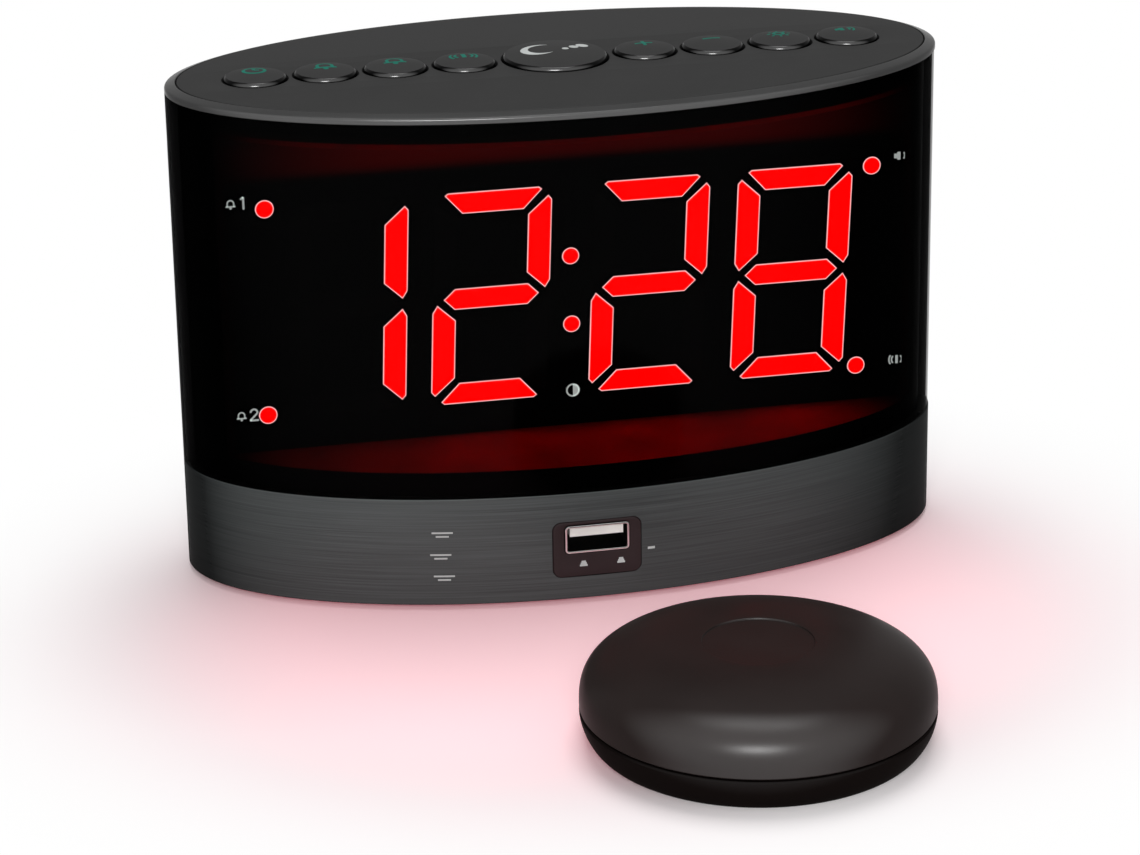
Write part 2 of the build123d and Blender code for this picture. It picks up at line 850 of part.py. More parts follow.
def jack(x, z, width, height, length, collar_radius, bore_radius, bore_depth):
    """A socket on the board whose collar fills its hole in the rear wall."""
    mouth_y = wall_y(x, 0) - jack_collar_inset
    body_front_y = wall_y(abs(x) + collar_radius, wall_thickness) - running_gap
    with BuildPart() as socket:
        with BuildSketch(front_view.offset(-body_front_y)):
            with Locations((x, z)):
                Rectangle(width, height)
        extrude(amount=length)
        with BuildSketch(front_view.offset(-body_front_y)):
            with Locations((x, z)):
                Circle(collar_radius)
        extrude(amount=body_front_y - mouth_y)
        with BuildSketch(front_view.offset(-mouth_y)):
            with Locations((x, z)):
                Circle(bore_radius)
        extrude(amount=bore_depth, mode=Mode.SUBTRACT)
    return socket


power_jack = jack(
    power_jack_x,
    power_jack_z,
    power_jack_width,
    power_jack_height,
    power_jack_length,
    power_collar_radius,
    power_bore_radius,
    power_bore_depth,
)
shaker_jack = jack(
    shaker_jack_x,
    shaker_jack_z,
    shaker_jack_width,
    shaker_jack_height,
    shaker_jack_length,
    shaker_collar_radius,
    shaker_bore_radius,
    shaker_bore_depth,
)
power_bore_floor_y = wall_y(power_jack_x, 0) - jack_collar_inset - power_bore_depth
with BuildPart() as power_pin:
    with BuildSketch(front_view.offset(-power_bore_floor_y)):
        with Locations((power_jack_x, power_jack_z)):
            Circle(power_pin_radius)
    extrude(amount=-power_pin_length)

# Volume switch: its body stands behind the wall, its knob reaches out through the slot
volume_body_front_y = wall_y(volume_x + volume_slot_width, wall_thickness) - running_gap
volume_foot_slot = volume_foot_width + volume_travel + 2 * running_gap
volume_rest_x = volume_x - volume_travel / 2
with BuildPart() as volume_switch:
    with BuildSketch(front_view.offset(-volume_body_front_y)):
        with Locations((volume_x, volume_z)):
            Rectangle(volume_body_width, volume_body_height)
    extrude(amount=volume_body_length)
    with BuildSketch(front_view.offset(-volume_body_front_y)):
        with Locations((volume_x, volume_z)):
            Rectangle(volume_foot_slot, volume_foot_height + 2 * running_gap)
    extrude(amount=volume_foot_length + running_gap, mode=Mode.SUBTRACT)

with BuildPart() as volume_knob:
    with BuildSketch(front_view.offset(-volume_body_front_y)):
        with Locations((volume_rest_x, volume_z)):
            Rectangle(volume_foot_width, volume_foot_height)
    extrude(amount=volume_foot_length)
    with BuildSketch(front_view.offset(-volume_body_front_y)):
        with Locations((volume_rest_x, volume_z)):
            Rectangle(volume_knob_width, volume_knob_height)
    extrude(amount=volume_body_front_y - wall_y(volume_x, 0) - volume_knob_reach)

# Dimmer: a knurled wheel on a small potentiometer
with BuildPart() as dimmer_dial:
    with BuildSketch(Plane.XY.offset(dimmer_z)):
        with Locations((dimmer_x, dimmer_y)):
            Circle(dimmer_radius)
            with PolarLocations(dimmer_radius, knurl_count):
                Circle(knurl_radius, mode=Mode.SUBTRACT)
    extrude(amount=dimmer_thickness)
    with BuildSketch(Plane.XY.offset(dimmer_z)):
        with Locations((dimmer_x, dimmer_y)):
            Circle(dimmer_shaft_radius)
    extrude(amount=-dimmer_shaft_length)

with BuildPart() as dimmer_pot:
    with BuildSketch(Plane.XY.offset(main_board_top)):
        with Locations((dimmer_x, dimmer_y)):
            Rectangle(dimmer_pot_width, dimmer_pot_width)
            Circle(dimmer_shaft_radius + shaft_gap, mode=Mode.SUBTRACT)
    extrude(amount=dimmer_pot_height)

# Loudspeaker, seated on the collar inside the rear wall. Its section is drawn in y and radius.
speaker_section = Plane(origin=(0, 0, speaker_height), x_dir=(0, 1, 0), z_dir=(1, 0, 0))
speaker_axis = Axis((0, 0, speaker_height), (0, 1, 0))
speaker_rear_y = speaker_seat_y - speaker_basket_depth
flange_inner = speaker_radius - speaker_flange_width
flange_back_y = speaker_seat_y - speaker_flange_thickness
cone_rim = flange_inner - speaker_cone_gap
cone_mouth_y = speaker_seat_y - speaker_paper
cone_floor_y = (speaker_rear_y + speaker_seat_y) / 2
with BuildPart() as speaker_frame:
    with BuildSketch(speaker_section):
        with BuildLine():
            Polyline(
                (speaker_seat_y, speaker_radius),
                (flange_back_y, speaker_radius),
                (speaker_rear_y - speaker_flange_thickness, speaker_basket_radius),
                (speaker_rear_y - speaker_flange_thickness, 0),
                (speaker_rear_y, 0),
                (speaker_rear_y, speaker_basket_radius - speaker_flange_thickness),
                (flange_back_y, flange_inner),
                (speaker_seat_y, flange_inner),
                close=True,
            )
        make_face()
    revolve(axis=speaker_axis)

with BuildPart() as speaker_cone:
    with BuildSketch(speaker_section):
        with BuildLine():
            Polyline(
                (cone_mouth_y, cone_rim),
                (cone_floor_y, speaker_coil_radius),
                (cone_floor_y, 0),
                (cone_floor_y - speaker_paper, 0),
                (cone_floor_y - speaker_paper, speaker_coil_radius),
                (cone_mouth_y - speaker_paper, cone_rim),
                close=True,
            )
        make_face()
    revolve(axis=speaker_axis)

magnet_front_y = speaker_rear_y - speaker_flange_thickness
with BuildPart() as speaker_magnet:
    with BuildSketch(front_view.offset(-magnet_front_y)):
        with Locations((0, speaker_height)):
            Circle(magnet_radius)
    extrude(amount=magnet_depth)

# Backup cell in the turning door of the base cover
tab_bottom = base_top + running_gap
door_top = body_bottom + door_height
with BuildPart() as battery_door:
    with BuildSketch(Plane.XY.offset(body_bottom)):
        with Locations(*door_places):
            Circle(door_radius)
    extrude(amount=door_height)
    with BuildSketch(Plane.XY.offset(tab_bottom)):
        with Locations(*door_places):
            Rectangle(2 * (door_radius + door_tab_reach), door_tab_width)
    extrude(amount=door_tab_thickness)
    with BuildSketch(Plane.XY.offset(body_bottom + door_floor)):
        with Locations(*door_places):
            Circle(cell_radius + running_gap)
    extrude(amount=door_height, mode=Mode.SUBTRACT)
    with BuildSketch(Plane.XY.offset(body_bottom)):
        with Locations(*door_places):
            SlotOverall(coin_slot_length, coin_slot_width, rotation=90)
    extrude(amount=coin_slot_depth, mode=Mode.SUBTRACT)

cell_bottom = body_bottom + door_floor + fit_gap
cell_top = cell_bottom + cell_height
with BuildPart() as backup_cell:
    with BuildSketch(Plane.XY.offset(cell_bottom)):
        with Locations(*door_places):
            Circle(cell_radius)
    extrude(amount=cell_height)

strip_end_x = door_x - contact_strip_length / 2
side_strip_x = door_x + cell_radius + contact_strip_thickness / 2 + shaft_gap
with BuildPart() as battery_contacts:
    with BuildSketch(Plane.XY.offset(cell_top)):
        with Locations(*door_places):
            Rectangle(contact_strip_length, contact_strip_width)
    extrude(amount=contact_strip_thickness)
    with BuildSketch(Plane.XY.offset(cell_top)):
        with Locations((strip_end_x + contact_strip_thickness / 2, 0)):
            Rectangle(contact_strip_thickness, contact_strip_width)
    extrude(amount=main_board_bottom - cell_top)
    with BuildSketch(Plane.XY.offset(door_top + running_gap)):
        with Locations((side_strip_x, 0)):
            Rectangle(contact_strip_thickness, contact_strip_width)
    extrude(amount=main_board_bottom - door_top - running_gap)

# Shaker puck: a flat dome over a shallow bowl, drawn in radius and height about its own axis
puck_origin = (puck_x, puck_y, 0)
puck_section = Plane(origin=puck_origin, x_dir=(1, 0, 0), z_dir=(0, -1, 0))
puck_axis = Axis(puck_origin, (0, 0, 1))
upper_rim = puck_seam_height + puck_seam_gap / 2
lower_rim = puck_seam_height - puck_seam_gap / 2
puck_inner_radius = puck_radius - puck_wall
outline_steps = 8


def bulge(rim_radius, rim_z, end_radius, end_z, exponent):
    """Superellipse quarter that leaves the rim upright and reaches its end level."""
    points = []
    for step in range(outline_steps + 1):
        angle = math.pi / 2 * step / outline_steps
        across = max(math.cos(angle), 0) ** (2 / exponent)
        up = math.sin(angle) ** (2 / exponent)
        points.append((end_radius + (rim_radius - end_radius) * across, rim_z + (end_z - rim_z) * up))
    points[0] = (rim_radius, rim_z)
    points[-1] = (end_radius, end_z)
    return points


def dome_solid(radius, top):
    """Solid under a dome that springs from the seam."""
    with BuildPart() as solid:
        with BuildSketch(puck_section):
            with BuildLine():
                Spline(*bulge(radius, upper_rim, 0, top, puck_dome_exponent), tangents=((0, 1), (-1, 0)))
                Polyline((0, top), (0, upper_rim), (radius, upper_rim))
            make_face()
        revolve(axis=puck_axis)
    return solid.part


def bowl_solid(radius, base_radius, bottom):
    """Solid inside a shallow bowl that ends at the seam."""
    with BuildPart() as solid:
        with BuildSketch(puck_section):
            with BuildLine():
                Spline(
                    *bulge(radius, lower_rim, base_radius, bottom, puck_underside_exponent),
                    tangents=((0, -1), (-1, 0)),
                )
                Polyline((base_radius, bottom), (0, bottom), (0, lower_rim), (radius, lower_rim))
            make_face()
        revolve(axis=puck_axis)
    return solid.part


def puck_plane(height):
    """Level plane over the middle of the puck."""
    return Plane(origin=(puck_x, puck_y, height))


puck_floor_top = puck_lift + puck_floor
lip_outer_radius = puck_inner_radius - fit_gap
gland_hole_plane = Plane(
    origin=(puck_x, puck_y + gland_flange_y, puck_seam_height),
    x_dir=(1, 0, 0),
    z_dir=(0, 1, 0),
)
gland_length = puck_radius + gland_proud - gland_flange_y

with BuildPart() as upper_hollow:
    add(dome_solid(puck_inner_radius, puck_top - puck_wall))
    with BuildSketch(puck_plane(upper_rim)):
        with PolarLocations(puck_screw_circle, puck_screw_count, start_angle=puck_screw_angle):
            Circle(puck_post_radius)
    extrude(amount=puck_top, mode=Mode.SUBTRACT)

with BuildPart() as shaker_upper_shell:
    add(dome_solid(puck_radius, puck_top))
    add(upper_hollow.part, mode=Mode.SUBTRACT)
    with BuildSketch(puck_plane(puck_top - puck_recess_depth)):
        Circle(puck_recess_radius)
    extrude(amount=puck_recess_depth + cut_overrun, mode=Mode.SUBTRACT)
    with BuildSketch(puck_plane(upper_rim)):
        with PolarLocations(puck_screw_circle, puck_screw_count, start_angle=puck_screw_angle):
            Circle(puck_screw_radius + shaft_gap)
    extrude(amount=puck_screw_length - (upper_rim - puck_lift - puck_screw_sink), mode=Mode.SUBTRACT)
    with BuildSketch(gland_hole_plane):
        Circle(gland_radius + fit_gap)
    extrude(amount=cut_overrun, mode=Mode.SUBTRACT)

with BuildPart() as lower_hollow:
    add(bowl_solid(puck_inner_radius, puck_base_radius - puck_wall, puck_floor_top))
    with BuildSketch(puck_plane(puck_floor_top)):
        with PolarLocations(puck_screw_circle, puck_screw_count, start_angle=puck_screw_angle):
            Circle(puck_post_radius)
    extrude(amount=puck_seam_height, mode=Mode.SUBTRACT)

with BuildPart() as shaker_lower_shell:
    add(bowl_solid(puck_radius, puck_base_radius, puck_lift))
    add(lower_hollow.part, mode=Mode.SUBTRACT)
    with BuildSketch(puck_plane(puck_floor_top)):
        Circle(lip_outer_radius)
        Circle(lip_outer_radius - puck_lip_thickness, mode=Mode.SUBTRACT)
    extrude(amount=puck_seam_height + puck_lip_rise - puck_floor_top)
    with BuildSketch(puck_plane(puck_lift)):
        with PolarLocations(puck_screw_circle, puck_screw_count, start_angle=puck_screw_angle):
            Circle(puck_post_radius)
    extrude(amount=upper_rim - puck_lift)
    with BuildSketch(puck_plane(puck_lift)):
        with PolarLocations(puck_screw_circle, puck_screw_count, start_angle=puck_screw_angle):
            Circle(puck_screw_radius + running_gap)
    extrude(amount=upper_rim - puck_lift, mode=Mode.SUBTRACT)
    with BuildSketch(puck_plane(puck_lift)):
        with PolarLocations(puck_screw_circle, puck_screw_count, start_angle=puck_screw_angle):
            Circle(puck_screw_head_radius + running_gap)
    extrude(amount=puck_screw_sink, mode=Mode.SUBTRACT)
    with BuildSketch(puck_plane(puck_lift)):
        Circle(puck_pad_radius + fit_gap)
    extrude(amount=puck_pad_thickness - puck_lift, mode=Mode.SUBTRACT)
    with BuildSketch(gland_hole_plane):
        Circle(gland_radius + fit_gap)
    extrude(amount=cut_overrun, mode=Mode.SUBTRACT)

with BuildPart() as shaker_screws:
    with BuildSketch(puck_plane(puck_lift + puck_screw_sink)):
        with PolarLocations(puck_screw_circle, puck_screw_count, start_angle=puck_screw_angle):
            Circle(puck_screw_radius)
    extrude(amount=puck_screw_length)
    with BuildSketch(puck_plane(puck_lift + puck_screw_sink)):
        with PolarLocations(puck_screw_circle, puck_screw_count, start_angle=puck_screw_angle):
            Circle(puck_screw_head_radius)
    extrude(amount=-puck_screw_head_height)

with BuildPart() as shaker_pad:
    with BuildSketch(puck_plane(0)):
        Circle(puck_pad_radius)
    extrude(amount=puck_pad_thickness)

with BuildPart() as cord_gland:
    with BuildSketch(gland_hole_plane):
        Circle(gland_radius)
    extrude(amount=gland_length)
    with BuildSketch(gland_hole_plane):
        Circle(gland_flange_radius)
    extrude(amount=gland_flange_thickness)
    with BuildSketch(gland_hole_plane):
        Circle(gland_bore_radius)
    extrude(amount=gland_length, mode=Mode.SUBTRACT)

# Motor along X in its cradle, with the eccentric weight on its shaft
motor_axis_z = puck_floor_top + cradle_floor + motor_half_height
motor_nose_x = motor_back + motor_length


def motor_plane(x):
    """Upright plane across the motor's axis, x from the middle of the puck."""
    return Plane(origin=(puck_x + x, puck_y, motor_axis_z), x_dir=(0, 1, 0), z_dir=(1, 0, 0))


with BuildPart() as shaker_motor:
    with BuildSketch(motor_plane(motor_back)):
        Circle(motor_radius)
        Rectangle(2 * motor_radius, 2 * motor_half_height, mode=Mode.INTERSECT)
    extrude(amount=motor_length)
    with BuildSketch(motor_plane(motor_nose_x)):
        Circle(motor_nose_radius)
    extrude(amount=motor_nose_length)
    with BuildSketch(motor_plane(motor_nose_x + motor_nose_length)):
        Circle(motor_shaft_radius + shaft_gap)
    extrude(amount=-motor_bore_depth, mode=Mode.SUBTRACT)

weight_start_x = motor_nose_x + motor_nose_length + weight_start_gap
shaft_start_x = motor_nose_x + motor_nose_length - motor_bore_depth + running_gap
with BuildPart() as motor_shaft:
    with BuildSketch(motor_plane(shaft_start_x)):
        Circle(motor_shaft_radius)
    extrude(amount=weight_start_x + weight_thickness - shaft_start_x)

with BuildPart() as eccentric_weight:
    with BuildSketch(motor_plane(weight_start_x)):
        with BuildLine():
            rim_arc = CenterArc((0, 0), weight_radius, -90 - weight_sector / 2, weight_sector)
            Polyline(rim_arc @ 1, (0, 0), rim_arc @ 0)
        make_face()
        Circle(weight_hub_radius)
        Circle(motor_shaft_radius, mode=Mode.SUBTRACT)
    extrude(amount=weight_thickness)

cradle_start = motor_back + cradle_margin
cradle_half_width = motor_radius + fit_gap + cradle_wall
with BuildPart() as motor_cradle:
    with BuildSketch(motor_plane(cradle_start)):
        with Locations((0, -motor_half_height - cradle_floor + cradle_rise / 2)):
            Rectangle(2 * cradle_half_width, cradle_rise)
    extrude(amount=cradle_length)
    with BuildSketch(motor_plane(cradle_start)):
        Circle(motor_radius + fit_gap)
        Rectangle(2 * (motor_radius + fit_gap), 2 * motor_half_height, mode=Mode.INTERSECT)
    extrude(amount=cradle_length, mode=Mode.SUBTRACT)

# Every finished piece by its name
pieces = {
    "base_cover": base_cover,
    "rubber_feet": rubber_feet,
    "base_screws": base_screws,
    "base_band": base_band,
    "front_skirt": front_skirt,
    "front_lens": front_lens,
    "rear_housing": rear_housing,
    "top_frame": top_frame,
    "top_panel": top_panel,
    "keypad_mat": keypad_mat,
    "button_board": button_board,
    "light_box": light_box,
    "display_panel": display_panel,
    "lit_segments": lit_segments,
    "unlit_segments": unlit_segments,
    "indicator_dots": indicator_dots,
    "led_chips": led_chips,
    "display_board": display_board,
    "usb_panel": usb_panel,
    "usb_shell": usb_shell,
    "usb_tongue": usb_tongue,
    "usb_contacts": usb_contacts,
    "main_board": main_board,
    "board_screws": board_screws,
    "power_jack": power_jack,
    "power_pin": power_pin,
    "shaker_jack": shaker_jack,
    "volume_switch": volume_switch,
    "volume_knob": volume_knob,
    "dimmer_dial": dimmer_dial,
    "dimmer_pot": dimmer_pot,
    "speaker_frame": speaker_frame,
    "speaker_cone": speaker_cone,
    "speaker_magnet": speaker_magnet,
    "battery_door": battery_door,
    "backup_cell": backup_cell,
    "battery_contacts": battery_contacts,
    "shaker_upper_shell": shaker_upper_shell,
    "shaker_lower_shell": shaker_lower_shell,
    "shaker_screws": shaker_screws,
    "shaker_pad": shaker_pad,
    "cord_gland": cord_gland,
    "shaker_motor": shaker_motor,
    "motor_shaft": motor_shaft,
    "eccentric_weight": eccentric_weight,
    "motor_cradle": motor_cradle,
    "snooze_button": press_button(0, snooze_radius, snooze_rise, snooze_dome),
}
for number, place in enumerate(button_places, start=1):
    pieces[f"button_{number}"] = press_button(place, button_radius, button_rise, button_dome)

os.makedirs("parts", exist_ok=True)
for label, piece in pieces.items():
    piece.part.label = label
    export_step(piece.part, f"parts/{label}.step")
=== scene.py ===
import math

import bmesh
import bpy
from mathutils import Matrix, Vector


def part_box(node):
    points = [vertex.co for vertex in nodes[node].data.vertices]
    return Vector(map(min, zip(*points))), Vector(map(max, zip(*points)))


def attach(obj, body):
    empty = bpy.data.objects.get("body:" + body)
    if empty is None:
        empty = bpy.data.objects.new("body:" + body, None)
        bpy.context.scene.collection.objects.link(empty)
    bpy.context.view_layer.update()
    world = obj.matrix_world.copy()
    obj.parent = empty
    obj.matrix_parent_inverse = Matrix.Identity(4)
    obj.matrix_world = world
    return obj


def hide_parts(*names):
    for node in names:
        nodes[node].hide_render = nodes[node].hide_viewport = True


# Bed shaker alarm clock: the oval clock with its lit digits, and the round puck in front of it.
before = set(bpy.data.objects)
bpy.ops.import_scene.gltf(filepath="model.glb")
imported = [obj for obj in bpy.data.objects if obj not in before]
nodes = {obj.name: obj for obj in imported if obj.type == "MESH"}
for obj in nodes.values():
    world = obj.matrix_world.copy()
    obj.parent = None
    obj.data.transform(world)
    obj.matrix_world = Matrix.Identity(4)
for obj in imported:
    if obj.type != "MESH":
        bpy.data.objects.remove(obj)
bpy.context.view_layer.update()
MM = 0.001


def box_mm(node):
    """Lowest and highest corner of a CAD node in millimetres."""
    low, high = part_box(node)
    return low / MM, high / MM


# Sizes in millimetres, read from the frame or named here
crisp_edge = 0.15
body_low, body_high = box_mm("top_frame")
half_width = (body_high.x - body_low.x) / 2
half_depth = (body_high.y - body_low.y) / 2
rim_bottom, top_surface = body_low.z, body_high.z
band_bottom, band_top = (corner.z for corner in box_mm("base_band"))
wall_top = box_mm("front_lens")[1].z
display_front = box_mm("display_panel")[0].y
seam_y = box_mm("front_lens")[1].y
full_round = -2 * half_depth  # a seam this far back leaves the oval whole

# Top rim, as insets from the oval and heights
lip_top = top_surface - 0.7
bevel_inset = 2.2
panel_seat = top_surface - 1.6
opening_inset = 7.0
spigot_inset = 2.5
rim_edge = 0.6
panel_inset = 2.5
panel_edge = 0.18

# Lens and band
lens_inset = 0.2
lens_thickness = 2.0
lens_edge = 0.3
band_skin = 0.6
band_edge = 0.22

ink_height = 0.03

# Buttons
button_centres = [(box_mm(f"button_{n}")[0].x + box_mm(f"button_{n}")[1].x) / 2 for n in range(1, 9)]
button_radius = (box_mm("button_1")[1].x - box_mm("button_1")[0].x) / 2
snooze_radius = (box_mm("snooze_button")[1].x - box_mm("snooze_button")[0].x) / 2
button_apex = box_mm("button_1")[1].z
snooze_apex = box_mm("snooze_button")[1].z - ink_height
cap_bottom = box_mm("button_1")[0].z
button_dome = 0.9
snooze_dome = 1.0
cap_round = 0.5
cap_corner = 0.9
hole_gap = 0.35
tab_thickness = 0.8
tab_half_width = 3.0
tab_reach = 1.2
tab_root = 0.1
boss_y = 7.0
boss_radius = 2.1
boss_bore = 1.0
boss_bottom = box_mm("button_board")[1].z

# Port
port_low, port_high = box_mm("usb_panel")
port_flange = 1.3
port_flange_thickness = 1.2
port_centre_x = (port_low.x + port_high.x) / 2
port_centre_z = (port_low.z + port_high.z) / 2
port_plate_width = port_high.x - port_low.x - 2 * port_flange
port_plate_height = port_high.z - port_low.z - 2 * port_flange
port_corner = 1.8
port_edge = 0.3
port_gap = 0.1
window_depth = 10.0
shell_low, shell_high = box_mm("usb_shell")
shell_metal = 0.4
shell_gap = 0.1
shell_corner = 0.8
shell_edge = 0.12
# Past this depth from its front the port's shell takes painted shade; only its front rim keeps the bright
# steel
unshaded_depth = 1.0  # bright front part of the port's shell

# Black print inside the lens: insets, heights and half the width of its window
print_inset = lens_inset + lens_thickness + 0.02  # a hair behind the lens
print_thickness = 0.05
chamber_floor = 28.3
print_low = chamber_floor + 1.0
print_high = 98.4
print_half_width = 73.5

# Puck
puck_low, puck_high = box_mm("shaker_upper_shell")
puck_x = (puck_low.x + puck_high.x) / 2
puck_radius = (puck_high.x - puck_low.x) / 2
puck_y = puck_low.y + puck_radius
puck_top = puck_high.z
upper_rim = 7.4
lower_rim = 7.0
puck_bottom = 0.3
puck_base_radius = 30.2
inner_floor = puck_bottom + 2.2
dome_exponent = 3.1
bowl_exponent = 1.62
puck_wall = 2.0
recess_radius = 10.6
recess_depth = 0.45
seam_edge = 0.3
recess_edge = 0.16
pad_seat_radius = 19.1
pad_seat_height = 1.0
gland_radius = 3.3
gland_height = 7.2
gland_gap = 0.1
gland_depth = 16.0

edge_glow = 0.2  # pale outline of a lit segment

# Patterns
noise_span = (0.3, 0.7)  # most of a noise pattern lies between these
plastic_patch = 14.0
line_length = 30.0
line_spacing = 0.3
track_spacing = 12.0
# Distances from the middle, in mm, over which the painted red glow in the chamber's colour fades to black
chamber_painted_glow_ends = (44.0, 73.0)

# Faint red glow painted as emission on the display panel past its printed mask, between two heights and
# fading to the sides
painted_panel_glow = 0.09
painted_glow_lower = (85.6, 88.6)
painted_glow_upper = (96.5, 92.0)
painted_glow_sides = (74.0, 30.0)


def linear(code):
    """Linear RGBA of an sRGB hex colour."""
    parts = [int(code[i : i + 2], 16) / 255 for i in (1, 3, 5)]
    return [p / 12.92 if p <= 0.04045 else ((p + 0.055) / 1.055) ** 2.4 for p in parts] + [1.0]


def add_node(tree, kind, settings=None, inputs=None):
    """Add a node with its settings, and give each named input a value or link it to a socket."""
    node = tree.nodes.new(kind)
    for name, value in (settings or {}).items():
        setattr(node, name, value)
    for name, value in (inputs or {}).items():
        if isinstance(value, bpy.types.NodeSocket):
            tree.links.new(value, node.inputs[name])
        else:
            node.inputs[name].default_value = value
    return node


def calc(tree, operation, *values):
    """Result of a math node on numbers or sockets."""
    return add_node(tree, "ShaderNodeMath", {"operation": operation}, dict(enumerate(values))).outputs[0]


def ranged(tree, value, from_span, to_span, eased=False):
    """A value carried from one span of numbers to another and held at its ends; eased softens both ends."""
    settings = {"interpolation_type": "SMOOTHSTEP"} if eased else None
    names = ("Value", "From Min", "From Max", "To Min", "To Max")
    inputs = dict(zip(names, (value, *from_span, *to_span)))
    return add_node(tree, "ShaderNodeMapRange", settings, inputs).outputs["Result"]


def clouds(tree, place, size, detail):
    """Uneven patches about size mm across, from 0 to 1."""
    inputs = {"Vector": place, "Scale": 1 / (size * MM), "Detail": detail}
    return add_node(tree, "ShaderNodeTexNoise", None, inputs).outputs["Fac"]


def relief_of(tree, height, depth):
    """Surface direction over a relief of the given depth in mm."""
    inputs = {"Height": height, "Distance": depth * MM}
    return add_node(tree, "ShaderNodeBump", None, inputs).outputs["Normal"]


def shaded(tree, shade, amount):
    """A colour made lighter or darker by an amount."""
    inputs = {0: linear(shade)[:3], "Scale": amount}
    return add_node(tree, "ShaderNodeVectorMath", {"operation": "SCALE"}, inputs).outputs["Vector"]


def new_finish(name):
    """A new empty material, its node tree and the place on the object in metres."""
    material = bpy.data.materials.new(name)
    material.use_nodes = True
    tree = material.node_tree
    tree.nodes.clear()
    return material, tree, add_node(tree, "ShaderNodeTexCoord").outputs["Object"]


def surface_of(tree, inputs):
    """Give the material its surface."""
    shader = add_node(tree, "ShaderNodeBsdfPrincipled", None, inputs)
    add_node(tree, "ShaderNodeOutputMaterial", None, {"Surface": shader.outputs["BSDF"]})


def facing_away(tree):
    """0 where the surface faces the eye, 1 at its outline."""
    return add_node(tree, "ShaderNodeLayerWeight", None, {"Blend": 0.5}).outputs["Facing"]


def fading_gloss(tree, level):
    """Specular level of a fine-textured surface, which loses its gloss at a shallow angle."""
    return ranged(tree, facing_away(tree), (0.06, 0.32), (level, 0.03 * level), True)


def moulded_plastic(name, shade, roughness, grain, relief, specular=0.5, mottle=0.12, painted_glow_ends=None):
    """Moulded plastic: the mould's fine grain as relief, with a slightly uneven shade and gloss.

    The last argument gives two distances to the side of the middle, in mm, between which the colour falls to
    black: painted shade for a glow that weakens towards the ends.
    """
    material, tree, place = new_finish(name)
    grains = clouds(tree, place, grain, 2.0)
    patches = clouds(tree, place, plastic_patch, 4.0)
    amount = ranged(tree, patches, noise_span, (1 - mottle, 1 + mottle))
    # Painted shade: the colour fades to black between two distances to the side of the middle
    if painted_glow_ends:
        across = add_node(tree, "ShaderNodeSeparateXYZ", None, {"Vector": place}).outputs["X"]
        aside = calc(tree, "ABSOLUTE", across)
        painted_glow_share = ranged(tree, aside, (painted_glow_ends[1] * MM, painted_glow_ends[0] * MM), (0.0, 1.0), True)
        amount = calc(tree, "MULTIPLY", amount, painted_glow_share)
    surface_of(
        tree,
        {
            "Base Color": shaded(tree, shade, amount),
            "Roughness": ranged(tree, patches, noise_span, (roughness - 0.04, roughness + 0.04)),
            "Normal": relief_of(tree, grains, relief),
            "Specular IOR Level": fading_gloss(tree, specular),
        },
    )
    return material


def worked_metal(name, shade, roughness, streak, relief):
    """Bare metal: reflective, with fine marks of its making as relief and in its gloss."""
    material, tree, place = new_finish(name)
    marks = clouds(tree, place, streak, 3.0)
    surface_of(
        tree,
        {
            "Base Color": linear(shade),
            "Metallic": 1.0,
            "Roughness": ranged(tree, marks, (0.0, 1.0), (roughness * 0.7, roughness * 1.3)),
            "Normal": relief_of(tree, marks, relief),
        },
    )
    return material


def brushed_band():
    """Aluminium sheet, brushed along the band and anodised black: fine lines in tone, gloss and relief."""
    material, tree, place = new_finish("anodised_aluminium_brushed")
    # Lines are drawn 0.3 mm apart, coarser than real brushing, so that they show; each runs about 30 mm.
    per_metre = (1 / (line_length * MM), 1 / (line_length * MM), 1 / (line_spacing * MM))
    stretch = add_node(tree, "ShaderNodeMapping", None, {"Vector": place, "Scale": per_metre})
    inputs = {"Vector": stretch.outputs["Vector"], "Scale": 1.0, "Detail": 4.0}
    lines = add_node(tree, "ShaderNodeTexNoise", None, inputs).outputs["Fac"]
    streaks = ranged(tree, lines, noise_span, (0.82, 1.18))
    # Painted shade: the band's colour darkens where it turns away from the eye.
    painted_end_shade = ranged(tree, facing_away(tree), (0.07, 0.45), (1.0, 0.22))
    surface_of(
        tree,
        {
            "Base Color": shaded(tree, "#4E5252", calc(tree, "MULTIPLY", streaks, painted_end_shade)),
            "Metallic": 0.35,
            "Specular IOR Level": fading_gloss(tree, 0.3),
            "Specular Tint": linear("#5A6060"),
            "Roughness": ranged(tree, lines, noise_span, (0.36, 0.5)),
            "Normal": relief_of(tree, lines, 0.015),
        },
    )
    return material


def smoked_acrylic(name, alpha):
    """Acrylic, smoked and polished: nearly black over dark things, clear enough for the lit digits."""
    material, tree, place = new_finish(name)
    surface_of(
        tree,
        {
            "Base Color": linear("#010101"),
            "Roughness": ranged(tree, clouds(tree, place, 30.0, 2.0), (0.0, 1.0), (0.02, 0.05)),
            "Specular IOR Level": fading_gloss(tree, 0.03),
            "Alpha": alpha,
        },
    )
    return material


def lit_diffuser(name, shade, strength):
    """Light-scattering resin over a lamp: an even glow, a little stronger and weaker in places."""
    material, tree, place = new_finish(name)
    patches = clouds(tree, place, 6.0, 1.0)
    surface_of(
        tree,
        {
            "Base Color": linear(shade),
            "Roughness": 0.5,
            "Specular IOR Level": 0.1,
            "Emission Color": linear(shade),
            "Emission Strength": ranged(tree, patches, (0.0, 1.0), (0.85 * strength, 1.15 * strength)),
        },
    )
    return material


